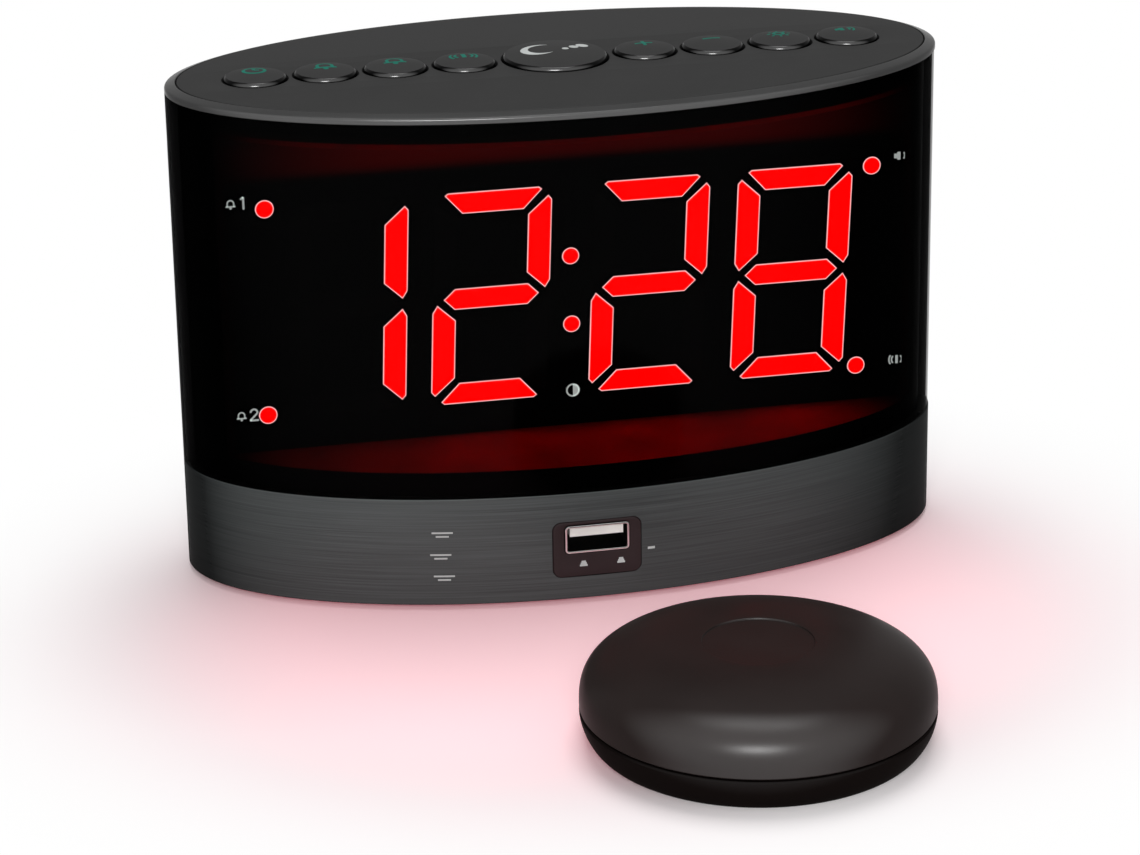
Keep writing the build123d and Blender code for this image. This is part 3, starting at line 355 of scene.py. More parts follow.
def printed_mask():
    """Smoked panel with a dead black mask printed over its middle, and a little red glow painted as emission
    past the mask.
    """
    material, tree, place = new_finish("acrylic_panel_masked_painted_glow")
    axes = add_node(tree, "ShaderNodeSeparateXYZ", None, {"Vector": place}).outputs
    # Painted glow: emission between two heights, fading to the sides
    level = painted_panel_glow
    for spot, span in (
        (axes["Z"], painted_glow_lower),
        (axes["Z"], painted_glow_upper),
        (calc(tree, "ABSOLUTE", axes["X"]), painted_glow_sides),
    ):
        share = ranged(tree, spot, [distance * MM for distance in span], (0.0, 1.0), True)
        level = calc(tree, "MULTIPLY", level, share)
    surface_of(
        tree,
        {
            "Base Color": linear("#020202"),
            "Roughness": 0.6,
            "Specular IOR Level": 0.02,
            "Normal": relief_of(tree, clouds(tree, place, 0.5, 1.0), 0.01),
            "Emission Color": linear("#FF0000"),
            "Emission Strength": level,
        },
    )
    return material


def circuit_laminate():
    """Glass laminate under green solder mask: the copper tracks show as slightly lighter lines."""
    material, tree, place = new_finish("glass_laminate_solder_mask")
    inputs = {"Vector": place, "Scale": 1 / (track_spacing * MM), "Mortar Size": 0.03}
    tracks = add_node(tree, "ShaderNodeTexBrick", None, inputs).outputs["Fac"]
    inputs = {"Factor": tracks, 6: linear("#0C3A1E"), 7: linear("#1C5A33")}
    mix = add_node(tree, "ShaderNodeMix", {"data_type": "RGBA"}, inputs)
    surface_of(tree, {"Base Color": mix.outputs[2], "Roughness": 0.35, "Specular IOR Level": 0.5})
    return material


finishes = {
    # Spark-eroded mould texture: an even, dull black that swallows the shape's edges
    "housing": moulded_plastic("abs_spark_eroded_black", "#141415", 0.6, 0.5, 0.02, 0.2),
    "inner": moulded_plastic("abs_moulded_inner_black", "#090909", 0.5, 0.6, 0.01, 0.3),
    # Black plastic of the chamber's floor and ceiling, with the red glow of the digits painted into its
    # colour and fading to black towards the ends
    "chamber": moulded_plastic(
        "abs_satin_chamber_painted_red_glow", "#A60407", 0.5, 0.7, 0.006, 0.02, 0.3, chamber_painted_glow_ends
    ),
    # Sprayed paint: a soft sheen on the rim, duller on the panel and the caps
    "rim": moulded_plastic("abs_sprayed_satin_grey", "#3C3C3C", 0.22, 0.5, 0.003, 0.8, 0.05),
    "top": moulded_plastic("abs_sprayed_matte_grey", "#393939", 0.66, 0.5, 0.016, 0.2, 0.05),
    "cap_face": moulded_plastic("abs_sprayed_cap_grey", "#3A3A3A", 0.6, 0.5, 0.012, 0.2, 0.05),
    # Polished mould: hard black gloss that shows the lamp as a small bright spot
    "cap_side": moulded_plastic("polycarbonate_polished_black", "#030303", 0.2, 0.8, 0.001, 1.0, 0.02),
    "band": brushed_band(),
    "lens": smoked_acrylic("acrylic_smoked_polished", 0.5),
    # The lens's ends, black through and through where the print lies behind them
    "lens_end": smoked_acrylic("acrylic_black_polished", 1.0),
    "print": moulded_plastic("ink_printed_black", "#010101", 0.7, 0.5, 0.004, 0.02),
    "lit": lit_diffuser("resin_diffuser_lit_red", "#FF0000", 5.0),
    "lit_edge": lit_diffuser("resin_diffuser_lit_edge", "#FFB8B8", 3.6),
    "unlit": moulded_plastic("resin_diffuser_unlit", "#020101", 0.6, 0.6, 0.004, 0.05),
    "mask": printed_mask(),
    "board": circuit_laminate(),
    "chip": moulded_plastic("resin_cast_chip_white", "#D8D6CC", 0.4, 0.6, 0.004),
    # Moulded rubber and silicone: dull, with a faint uneven bloom
    "rubber": moulded_plastic("rubber_moulded_black", "#151515", 0.75, 0.6, 0.03, 0.3, 0.2),
    "silicone": moulded_plastic("silicone_moulded_grey", "#7A7C7E", 0.6, 0.6, 0.01, 0.4),
    "screw": worked_metal("steel_zinc_plated", "#A9A9A6", 0.35, 0.4, 0.006),
    "port_plate": moulded_plastic("abs_moulded_brown_black", "#2E2425", 0.42, 0.5, 0.008, 0.15),
    "port_shell": worked_metal("steel_nickel_plated", "#D4D4D2", 0.16, 0.8, 0.002),
    # The shell past its front rim, inside and out: the same steel with painted shade, dark and dull, so that
    # the socket stays dark
    "port_painted_shade": worked_metal("steel_drawn_painted_shade", "#141414", 0.55, 0.5, 0.004),
    "port_tongue": moulded_plastic("nylon_moulded_white", "#EDEBE6", 0.45, 0.6, 0.006),
    "contact": worked_metal("bronze_gold_plated", "#C9963A", 0.3, 0.5, 0.003),
    "jack": moulded_plastic("nylon_moulded_black", "#101011", 0.4, 0.6, 0.008, 0.4),
    "speaker_steel": moulded_plastic("steel_painted_black", "#151515", 0.45, 0.7, 0.008, 0.4),
    "speaker_paper": moulded_plastic("paper_pressed_black", "#1B1A18", 0.85, 0.7, 0.05, 0.2, 0.25),
    "magnet": moulded_plastic("ferrite_sintered", "#26262A", 0.6, 0.6, 0.03, 0.4),
    "cell": worked_metal("stainless_steel_pressed", "#C4C4C2", 0.22, 1.2, 0.003),
    # Soft matte paint over ABS: a broad, hazy highlight on a warm black
    "puck": moulded_plastic("abs_soft_painted_brown_black", "#272120", 0.34, 0.5, 0.006, 0.5, 0.06),
    "puck_lower": moulded_plastic("abs_moulded_lower_black", "#120E0D", 0.5, 0.5, 0.012, 0.12, 0.06),
    "motor": worked_metal("steel_drawn_can", "#9A9A98", 0.3, 0.8, 0.006),
    "brass": worked_metal("brass_turned", "#B08D46", 0.3, 0.5, 0.006),
    "white_ink": lit_diffuser("ink_backlit_white", "#D8DFDC", 1.6),
    "teal_ink": moulded_plastic("ink_printed_teal", "#246C5E", 0.5, 0.5, 0.004, 0.1),
    "pale_ink": moulded_plastic("ink_printed_pale_grey", "#B9BCBB", 0.5, 0.5, 0.004, 0.1),
}

node_finishes = {
    "housing": ["base_cover", "rear_housing", "battery_door"],
    "inner": ["front_skirt", "motor_cradle"],
    "chamber": ["light_box"],
    "mask": ["display_panel"],
    "unlit": ["unlit_segments"],
    "board": ["display_board", "button_board", "main_board"],
    "chip": ["led_chips"],
    "rubber": ["rubber_feet", "shaker_pad", "cord_gland"],
    "silicone": ["keypad_mat"],
    "screw": ["base_screws", "board_screws", "shaker_screws"],
    "port_shell": ["power_pin"],
    "port_tongue": ["usb_tongue"],
    "contact": ["usb_contacts", "battery_contacts"],
    "jack": ["power_jack", "shaker_jack", "volume_switch", "dimmer_pot"],
    "cap_face": ["volume_knob", "dimmer_dial"],
    "speaker_steel": ["speaker_frame"],
    "speaker_paper": ["speaker_cone"],
    "magnet": ["speaker_magnet"],
    "cell": ["backup_cell"],
    "motor": ["shaker_motor", "motor_shaft"],
    "brass": ["eccentric_weight"],
}
for finish_name, members in node_finishes.items():
    for member in members:
        nodes[member].data.materials.clear()
        nodes[member].data.materials.append(finishes[finish_name])


def oval_wall_tree():
    """Geometry nodes that carry a closed section of insets and heights round an oval, as far as the seam."""
    tree = bpy.data.node_groups.new("oval_wall", "GeometryNodeTree")
    sockets = {}
    for name, kind in (
        ("Section", "NodeSocketGeometry"),
        ("Half Width", "NodeSocketFloat"),
        ("Half Depth", "NodeSocketFloat"),
        ("Seam", "NodeSocketFloat"),
        ("Steps", "NodeSocketInt"),
        ("Finish", "NodeSocketMaterial"),
    ):
        sockets[name] = tree.interface.new_socket(name=name, in_out="INPUT", socket_type=kind).identifier
    tree.interface.new_socket(name="Wall", in_out="OUTPUT", socket_type="NodeSocketGeometry")
    given = add_node(tree, "NodeGroupInput").outputs
    size = add_node(tree, "GeometryNodeAttributeDomainSize", None, {"Geometry": given["Section"]})
    count = size.outputs["Point Count"]
    columns = calc(tree, "ADD", count, 1.0)
    inputs = {"Vertices X": given["Steps"], "Vertices Y": columns}
    grid = add_node(tree, "GeometryNodeMeshGrid", None, inputs)
    index = add_node(tree, "GeometryNodeInputIndex").outputs[0]
    row = calc(tree, "FLOOR", calc(tree, "DIVIDE", index, columns))
    around = calc(tree, "MODULO", calc(tree, "MODULO", index, columns), count)
    position = add_node(tree, "GeometryNodeInputPosition").outputs[0]
    inputs = {"Geometry": given["Section"], "Value": position, "Index": around}
    sample = add_node(tree, "GeometryNodeSampleIndex", {"data_type": "FLOAT_VECTOR"}, inputs)
    point = add_node(tree, "ShaderNodeSeparateXYZ", None, {0: sample.outputs[0]}).outputs
    along = calc(tree, "DIVIDE", row, calc(tree, "SUBTRACT", given["Steps"], 1.0))
    turn = calc(tree, "MULTIPLY_ADD", along, 2.0, -1.0)
    width = calc(tree, "SUBTRACT", given["Half Width"], point["X"])
    depth = calc(tree, "SUBTRACT", given["Half Depth"], point["X"])
    limit = calc(tree, "MAXIMUM", calc(tree, "DIVIDE", given["Seam"], depth), -1.0)
    angle = calc(tree, "MULTIPLY", turn, calc(tree, "ARCCOSINE", limit))
    x = calc(tree, "MULTIPLY", width, calc(tree, "SINE", angle))
    ahead = calc(tree, "MULTIPLY", depth, calc(tree, "COSINE", angle))
    y = calc(tree, "MULTIPLY", ahead, -1.0)
    place = add_node(tree, "ShaderNodeCombineXYZ", None, {"X": x, "Y": y, "Z": point["Z"]}).outputs[0]
    inputs = {"Geometry": grid.outputs["Mesh"], "Position": place}
    bent = add_node(tree, "GeometryNodeSetPosition", None, inputs)
    inputs = {"Geometry": bent.outputs[0], "Distance": 0.001 * MM}
    closed = add_node(tree, "GeometryNodeMergeByDistance", None, inputs)
    real = add_node(tree, "GeometryNodeRealizeInstances", None, {"Geometry": closed.outputs[0]})
    inputs = {"Geometry": real.outputs[0], "Material": given["Finish"]}
    dressed = add_node(tree, "GeometryNodeSetMaterial", None, inputs)
    add_node(tree, "NodeGroupOutput", None, {"Wall": dressed.outputs[0]})
    return tree, sockets


oval_tree, oval_sockets = oval_wall_tree()


def evaluated_mesh(source, name):
    """The mesh that an object's modifiers give, as a new plain mesh; the source object is removed."""
    depsgraph = bpy.context.evaluated_depsgraph_get()
    mesh = bpy.data.meshes.new_from_object(source.evaluated_get(depsgraph))
    mesh.name = name
    bpy.data.objects.remove(source)
    return mesh


def show(name, mesh, body, replaced=()):
    """Make the mesh a finished piece that rides on a body."""
    piece = bpy.data.objects.new(name, mesh)
    bpy.context.scene.collection.objects.link(piece)
    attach(piece, body)
    if replaced:
        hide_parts(*replaced)
    return piece


def close_and_smooth(mesh, sharp=math.radians(32)):
    """Merge doubles, close open ends, turn faces outwards and shade smooth between sharp edges."""
    work = bmesh.new()
    work.from_mesh(mesh)
    bmesh.ops.remove_doubles(work, verts=work.verts, dist=0.0005 * MM)
    bmesh.ops.dissolve_degenerate(work, edges=work.edges, dist=0.0005 * MM)
    rims = [edge for edge in work.edges if edge.is_boundary]
    if rims:
        bmesh.ops.holes_fill(work, edges=rims)
    bmesh.ops.recalc_face_normals(work, faces=work.faces)
    for face in work.faces:
        face.smooth = True
    work.to_mesh(mesh)
    work.free()
    mesh.set_sharp_from_angle(angle=sharp)
    return mesh


def swept(name, section, widths, seam, finish, steps=180, centre=(0.0, 0.0)):
    """A closed section of (inset, height) carried round an oval of the given half sizes."""
    count = len(section)
    line = bpy.data.meshes.new(name + "_section")
    line.from_pydata(
        [(inset * MM, 0.0, height * MM) for inset, height in section],
        [(i, (i + 1) % count) for i in range(count)],
        [],
    )
    source = bpy.data.objects.new(name + "_source", line)
    bpy.context.scene.collection.objects.link(source)
    modifier = source.modifiers.new("oval_wall", "NODES")
    modifier.node_group = oval_tree
    modifier[oval_sockets["Half Width"]] = widths[0] * MM
    modifier[oval_sockets["Half Depth"]] = widths[1] * MM
    modifier[oval_sockets["Seam"]] = seam * MM
    modifier[oval_sockets["Steps"]] = steps
    modifier[oval_sockets["Finish"]] = finish
    mesh = close_and_smooth(evaluated_mesh(source, name))
    mesh.transform(Matrix.Translation((centre[0] * MM, centre[1] * MM, 0.0)))
    return mesh


def turned(name, section, finish, centre, steps=96):
    """A closed section of (radius, height) turned about an upright axis."""
    outer = max(radius for radius, _ in section)
    insets = [(outer - radius, height) for radius, height in section]
    return swept(name, insets, (outer, outer), -2 * outer, finish, steps, centre)


def rounded(corners, steps=5):
    """Corners given as (across, height, radius), with an arc at each corner that has a radius."""
    points = []
    for i, (across, height, radius) in enumerate(corners):
        here = Vector((across, height))
        if radius == 0:
            points.append(tuple(here))
            continue
        before = (Vector(corners[i - 1][:2]) - here).normalized()
        after = (Vector(corners[(i + 1) % len(corners)][:2]) - here).normalized()
        half = before.angle(after) / 2
        centre = here + (before + after).normalized() * radius / math.sin(half)
        start = here + before * radius / math.tan(half) - centre
        end = here + after * radius / math.tan(half) - centre
        for k in range(steps + 1):
            direction = (start * (steps - k) + end * k).normalized()
            points.append(tuple(centre + direction * radius))
    return points


def joined(meshes):
    """One mesh from several, with their materials kept."""
    work = bmesh.new()
    materials = []
    for mesh in meshes:
        before = len(work.faces)
        work.from_mesh(mesh)
        work.faces.ensure_lookup_table()
        for face in work.faces[before:]:
            used = mesh.materials[face.material_index]
            if used not in materials:
                materials.append(used)
            face.material_index = materials.index(used)
    result = bpy.data.meshes.new(meshes[0].name)
    for material in materials:
        result.materials.append(material)
    work.to_mesh(result)
    work.free()
    return result


def block(low, high, finish):
    """A plain box between two corners in millimetres."""
    work = bmesh.new()
    bmesh.ops.create_cube(work, size=1.0)
    size = Vector(high) - Vector(low)
    for vert in work.verts:
        vert.co = (Vector(low) + Vector((vert.co[i] * size[i] + size[i] / 2 for i in range(3)))) * MM
    mesh = bpy.data.meshes.new("block")
    work.to_mesh(mesh)
    work.free()
    mesh.materials.append(finish)
    return mesh


def rounded_rectangle(x, z, width, height, corner, steps=8):
    """Outline of a rectangle with round corners about (x, z)."""
    signs = ((1, 1), (-1, 1), (-1, -1), (1, -1))
    return rounded([(x + sx * width / 2, z + sz * height / 2, corner) for sx, sz in signs], steps)


def circle(x, y, radius, steps=72):
    """Outline of a circle."""
    turns = [2 * math.pi * k / steps for k in range(steps)]
    return [(x + radius * math.cos(turn), y + radius * math.sin(turn)) for turn in turns]


def oval(inset, steps=240):
    """Outline of the body's oval, drawn in by inset."""
    turns = [2 * math.pi * k / steps for k in range(steps)]
    return [((half_width - inset) * math.cos(turn), (half_depth - inset) * math.sin(turn)) for turn in turns]


def plate(name, outlines, thickness, edge, finish, lie):
    """A flat plate with holes and softened edges; lie turns it from lying flat to its place."""
    curve = bpy.data.curves.new(name, "CURVE")
    curve.dimensions = "2D"
    curve.fill_mode = "BOTH"
    curve.extrude = (thickness / 2 - edge) * MM
    curve.bevel_depth = edge * MM
    curve.bevel_resolution = 2
    curve.offset = -edge * MM
    for outline in outlines:
        spline = curve.splines.new("POLY")
        spline.points.add(len(outline) - 1)
        for point, (x, y) in zip(spline.points, outline):
            point.co = (x * MM, y * MM, 0.0, 1.0)
        spline.use_cyclic_u = True
    source = bpy.data.objects.new(name, curve)
    bpy.context.scene.collection.objects.link(source)
    mesh = evaluated_mesh(source, name)
    mesh.materials.clear()
    mesh.materials.append(finish)
    mesh.transform(lie)
    return close_and_smooth(mesh, math.radians(16))


def cut(mesh, cutter):
    """The mesh with the cutter's volume taken out."""
    piece = bpy.data.objects.new("cut_piece", mesh)
    tool = bpy.data.objects.new("cut_tool", cutter)
    for thing in (piece, tool):
        bpy.context.scene.collection.objects.link(thing)
    modifier = piece.modifiers.new("window", "BOOLEAN")
    modifier.operation = "DIFFERENCE"
    modifier.solver = "EXACT"
    modifier.object = tool
    name = mesh.name
    result = evaluated_mesh(piece, name)
    bpy.data.objects.remove(tool)
    return close_and_smooth(result)


upright = Matrix.Rotation(math.radians(90), 4, "X")  # from lying flat to facing the viewer

# Top rim: lip, bevel, seat for the panel and spigot into the walls
rim_section = rounded(
    [
        (0.0, wall_top, crisp_edge),
        (0.0, lip_top, rim_edge),
        (bevel_inset, top_surface, crisp_edge),
        (bevel_inset, panel_seat, 0.0),
        (opening_inset, panel_seat, 0.0),
        (opening_inset, rim_bottom, 0.0),
        (spigot_inset, rim_bottom, 0.0),
        (spigot_inset, wall_top, 0.0),
    ]
)
rim = swept("top_rim", rim_section, (half_width, half_depth), full_round, finishes["rim"], 361)
show("top_rim", rim, "clock", ["top_frame"])

# Top panel with its nine holes, and the four screw bosses under it
holes = [circle(x, 0.0, button_radius + hole_gap) for x in button_centres]
holes.append(circle(0.0, 0.0, snooze_radius + hole_gap, 96))
panel_thickness = top_surface - panel_seat
panel_lie = Matrix.Translation((0.0, 0.0, (panel_seat + panel_thickness / 2) * MM))
panel = plate(
    "top_cover", [oval(panel_inset)] + holes, panel_thickness, panel_edge, finishes["top"], panel_lie
)
boss_ring = [
    (boss_bore, boss_bottom),
    (boss_radius, boss_bottom),
    (boss_radius, panel_seat),
    (boss_bore, panel_seat),
]
boss_centres = [(button_centres[i] + button_centres[i + 1]) / 2 for i in (0, 2, 4, 6)]
bosses = [turned("panel_boss", boss_ring, finishes["top"], (x, boss_y), 32) for x in boss_centres]
show("top_cover", joined([panel] + bosses), "clock", ["top_panel"])

# Front lens
lens_section = rounded(
    [
        (lens_inset, band_top, crisp_edge),
        (lens_inset, wall_top, lens_edge),
        (lens_inset + lens_thickness, wall_top, 0.0),
        (lens_inset + lens_thickness, band_top, 0.0),
    ]
)
lens = swept("curved_lens", lens_section, (half_width, half_depth), -seam_y, finishes["lens"], 181)
lens.materials.append(finishes["lens_end"])
for polygon in lens.polygons:
    if abs(polygon.center.x) > (print_half_width + lens_thickness) * MM:
        polygon.material_index = 1
show("curved_lens", lens, "clock", ["front_lens"])

# Base band with the window for the port plate
band_section = rounded(
    [
        (0.0, band_bottom, band_edge),
        (0.0, band_top, band_edge),
        (band_skin, band_top, 0.0),
        (band_skin, band_bottom, 0.0),
    ]
)
band = swept("brushed_band", band_section, (half_width, half_depth), -seam_y, finishes["band"], 181)
window_outline = rounded_rectangle(
    port_centre_x,
    port_centre_z,
    port_plate_width + 2 * port_gap,
    port_plate_height + 2 * port_gap,
    port_corner + port_gap,
)
window_lie = Matrix.Translation((0.0, -half_depth * MM, 0.0)) @ upright
window = plate("window", [window_outline], window_depth, 0.0, finishes["band"], window_lie)
band = cut(band, window)
show("brushed_band", band, "clock", ["base_band"])

# Black print inside the lens, a frame round its window


def print_strip(low, high):
    """Part of the print between two heights, all along the lens."""
    strip = [(print_inset, low), (print_inset, high), (print_inset + print_thickness, high)]
    strip.append((print_inset + print_thickness, low))
    return swept("lens_print", strip, (half_width, half_depth), -seam_y, finishes["print"], 181)


def ends_only(mesh, half_window):
    """The two ends of a strip, without the part in front of the window."""
    work = bmesh.new()
    work.from_mesh(mesh)
    inside = [face for face in work.faces if abs(face.calc_center_median().x) < half_window * MM]
    bmesh.ops.delete(work, geom=inside, context="FACES")
    work.to_mesh(mesh)
    work.free()
    return close_and_smooth(mesh)


lens_print = [print_strip(band_top, print_low), print_strip(print_high, wall_top)]
lens_print.append(ends_only(print_strip(print_low, print_high), print_half_width))
show("lens_print", joined(lens_print), "clock", ())

# Port plate with its flange, and the drawn metal shell
shell_centre = ((shell_low.x + shell_high.x) / 2, (shell_low.z + shell_high.z) / 2)
shell_width = shell_high.x - shell_low.x
shell_height = shell_high.z - shell_low.z
shell_outer = rounded_rectangle(*shell_centre, shell_width, shell_height, shell_corner)
shell_inner = rounded_rectangle(
    *shell_centre, shell_width - 2 * shell_metal, shell_height - 2 * shell_metal, shell_corner - shell_metal
)
shell_hole = rounded_rectangle(
    *shell_centre, shell_width + 2 * shell_gap, shell_height + 2 * shell_gap, shell_corner + shell_gap
)
plate_outline = rounded_rectangle(
    port_centre_x, port_centre_z, port_plate_width, port_plate_height, port_corner
)
flange_outline = rounded_rectangle(
    port_centre_x,
    port_centre_z,
    port_plate_width + 2 * port_flange,
    port_plate_height + 2 * port_flange,
    port_corner,
)


def standing(front, thickness):
    """Turn from lying flat to facing the viewer, with the plate's front at the given depth."""
    return Matrix.Translation((0.0, (front + thickness / 2) * MM, 0.0)) @ upright


plate_depth = port_high.y - port_low.y
shell_depth = shell_high.y - shell_low.y
flange_front = port_high.y - port_flange_thickness
port_plate = plate(
    "port_plate",
    [plate_outline, shell_hole],
    plate_depth,
    port_edge,
    finishes["port_plate"],
    standing(port_low.y, plate_depth),
)
port_rim = plate(
    "port_rim",
    [flange_outline, shell_hole],
    port_flange_thickness,
    port_edge,
    finishes["port_plate"],
    standing(flange_front, port_flange_thickness),
)
show("port_plate", joined([port_plate, port_rim]), "clock", ["usb_panel"])
port_shell = plate(
    "port_shell",
    [shell_outer, shell_inner],
    shell_depth,
    shell_edge,
    finishes["port_shell"],
    standing(shell_low.y, shell_depth),
)
# Painted shade: faces past the front rim, and the shell's sides inside and out, take the dark steel
port_shell.materials.append(finishes["port_painted_shade"])
for polygon in port_shell.polygons:
    if polygon.center.y / MM > shell_low.y + unshaded_depth or abs(polygon.normal.y) < 0.2:
        polygon.material_index = 1
show("port_shell", port_shell, "clock", ["usb_shell"])

# Buttons: domed matte face, rounded gloss side, and the two catch tabs below


def dome_height(distance, radius, apex, drop):
    """Height of a cap's domed face at a distance from its middle."""
    sphere = (radius**2 + drop**2) / (2 * drop)
    return apex - sphere + math.sqrt(sphere**2 - distance**2)


def push_cap(name, x, radius, apex, drop):
    """One cap with its face, side and tabs."""
    face_radius = radius - cap_round
    steps = 14
    dome = [
        (face_radius * k / steps, dome_height(face_radius * k / steps, radius, apex, drop), 0.0)
        for k in range(steps + 1)
    ]
    corners = dome + [(radius, apex - drop, cap_corner), (radius, cap_bottom, 0.0), (0.0, cap_bottom, 0.0)]
    cap = turned(name, rounded(corners, 8), finishes["cap_side"], (x, 0.0), 97)
    cap.materials.clear()
    cap.materials.append(finishes["cap_side"])
    cap.materials.append(finishes["cap_face"])
    for polygon in cap.polygons:
        middle = polygon.center / MM
        if middle.z > cap_bottom + 1 and math.hypot(middle.x - x, middle.y) < face_radius:
            polygon.material_index = 1
    tabs = []
    for near, far in ((-radius - tab_reach, -radius + tab_root), (radius - tab_root, radius + tab_reach)):
        low = (x - tab_half_width, near, cap_bottom)
        high = (x + tab_half_width, far, cap_bottom + tab_thickness)
        tabs.append(block(low, high, finishes["cap_side"]))
    return joined([cap] + tabs)


for number, x in enumerate(button_centres, start=1):
    cap = push_cap(f"cap_{number}", x, button_radius, button_apex, button_dome)
    show(f"cap_{number}", cap, f"button_{number}", [f"button_{number}"])
snooze = push_cap("snooze_cap", 0.0, snooze_radius, snooze_apex, snooze_dome)
show("snooze_cap", snooze, "snooze_button", ["snooze_button"])

# Printed marks: flat shapes in millimetres, laid on a surface


def bar(start, end, width, steps=8):
    """Quads of a straight stroke."""
    start, end = Vector(start), Vector(end)
    along = (end - start) / steps
    side = Vector((-along.y, along.x)).normalized() * width / 2
    quads = []
    for k in range(steps):
        first, last = start + along * k, start + along * (k + 1)
        quads.append((first - side, last - side, last + side, first + side))
    return quads


def arc(centre, radius, width, first=0.0, last=360.0, steps=24):
    """Quads of a round stroke from one angle to another; a width of twice the radius makes a disc."""
    quads = []
    for k in range(steps):
        a, b = (math.radians(first + (last - first) * (k + i) / steps) for i in (0, 1))
        inner, outer = radius - width / 2, radius + width / 2
        places = ((a, inner), (a, outer), (b, outer), (b, inner))
        quads.append(tuple(Vector(centre) + Vector((math.cos(t), math.sin(t))) * r for t, r in places))
    return quads


def moved(quads, shift, scale=1.0):
    """The quads at another place and size."""
    return [tuple(corner * scale + Vector(shift) for corner in quad) for quad in quads]


def printed(name, quads, surface, finish, body):
    """A thin layer of ink on a surface, which gives a point and its outward direction for each place."""
    work = bmesh.new()
    corners = {}
    sides = {}
    for quad in quads:
        keys = []
        for corner in quad:
            key = (round(corner.x, 3), round(corner.y, 3))
            if key in keys:
                continue
            keys.append(key)
            if key not in corners:
                point, outward = surface(*key)
                lower = work.verts.new(point * MM)
                corners[key] = (lower, work.verts.new((point + outward * ink_height) * MM))
        work.faces.new([corners[key][1] for key in keys])
        work.faces.new([corners[key][0] for key in reversed(keys)])
        for start, end in zip(keys, keys[1:] + keys[:1]):
            sides.setdefault(frozenset((start, end)), []).append((start, end))
    for uses in sides.values():
        if len(uses) == 1:
            start, end = (corners[key] for key in uses[0])
            work.faces.new((start[0], end[0], end[1], start[1]))
    bmesh.ops.recalc_face_normals(work, faces=work.faces)
    mesh = bpy.data.meshes.new(name)
    work.to_mesh(mesh)
    work.free()
    mesh.materials.append(finish)
    return show(name, mesh, body, ())


def on_cap(x, radius, apex, drop):
    """Surface of a cap's domed face, about its middle."""
    sphere = (radius**2 + drop**2) / (2 * drop)

    def surface(u, v):
        height = dome_height(math.hypot(u, v), radius, apex, drop)
        outward = Vector((u, v, height - apex + sphere)).normalized()
        return Vector((x + u, v, height)), outward

    return surface


def on_display(u, v):
    """Front of the display panel."""
    return Vector((u, display_front, v)), Vector((0.0, -1.0, 0.0))


def on_band(u, v):
    """Outside of the band."""
    y = -half_depth * math.sqrt(1 - (u / half_width) ** 2)
    return Vector((u, y, v)), Vector((u / half_width**2, y / half_depth**2, 0.0)).normalized()


def on_port_plate(u, v):
    """Front of the port plate."""
    return Vector((u, port_low.y, v)), Vector((0.0, -1.0, 0.0))


stroke = 0.6
bell = (
    arc((0.0, 0.0), 1.3, stroke, 0.0, 180.0)
    + bar((-1.3, 0.0), (-1.3, -1.2), stroke)
    + bar((1.3, 0.0), (1.3, -1.2), stroke)
    + bar((-2.0, -1.3), (2.0, -1.3), stroke)
    + arc((0.0, -2.0), 0.25, 0.5)
)
clock_face = arc((0.0, 0.0), 1.9, stroke)
clock_face += bar((0.0, 0.0), (0.0, 1.2), stroke) + bar((0.0, 0.0), (0.9, 0.0), stroke)
plus = bar((-1.6, 0.0), (1.6, 0.0), stroke) + bar((0.0, -1.6), (0.0, 1.6), stroke)
minus = bar((-1.6, 0.0), (1.6, 0.0), stroke)
sun = arc((0.0, 0.0), 0.9, stroke)
for ray in range(8):
    outward = Vector((math.cos(math.radians(45 * ray)), math.sin(math.radians(45 * ray))))
    sun += bar(outward * 1.5, outward * 2.1, 0.4, 2)
waves = bar((0.0, -1.3), (0.0, 1.3), 0.8)
for side in (-1, 1):
    waves += arc((side * 0.2, 0.0), 1.4, 0.45, 90 - side * 140, 90 - side * 40)
    waves += arc((side * 0.2, 0.0), 2.2, 0.45, 90 - side * 130, 90 - side * 50)
sound = bar((-1.9, 0.0), (-1.1, 0.0), 1.2, 2) + bar((-1.1, 0.0), (-0.3, 0.0), 2.0, 2)
sound += arc((-0.3, 0.0), 1.1, 0.4, -45, 45, 8) + arc((-0.3, 0.0), 1.9, 0.4, -45, 45, 8)
moon = []
moon_radius, moon_start, moon_turn, moon_steps = 2.2, 50, 260, 20
for k in range(moon_steps):
    shares = (k / moon_steps, (k + 1) / moon_steps)
    turns = [math.radians(moon_start + moon_turn * share) for share in shares]
    outer_a, outer_b = (Vector((math.cos(t), math.sin(t))) * moon_radius for t in turns)
    thin_a, thin_b = (1 - 0.42 * math.sin(share * math.pi) for share in shares)
    moon.append((outer_a * thin_a, outer_a, outer_b, outer_b * thin_b))

cap_marks = [clock_face, bell, moved(bell, (0.0, 0.2)), waves, plus, minus, sun, sound]
for number, (x, mark) in enumerate(zip(button_centres, cap_marks), start=1):
    surface = on_cap(x, button_radius, button_apex, button_dome)
    quads = moved(mark, (0.0, 1.1), 1.15)
    button = f"button_{number}"
    printed(f"cap_mark_{number}", quads, surface, finishes["teal_ink"], button)
snooze_mark = moved(moon, (-3.2, 1.2), 1.7)
for step in range(3):
    shift = (2.2 + 2.0 * step, 0.2 + 1.3 * step)
    snooze_mark += moved(arc((0.0, 0.0), 0.5, 1.0), shift, 0.7 + 0.3 * step)
printed(
    "snooze_mark",
    snooze_mark,
    on_cap(0.0, snooze_radius, snooze_apex, snooze_dome),
    finishes["pale_ink"],
    "snooze_button",
)

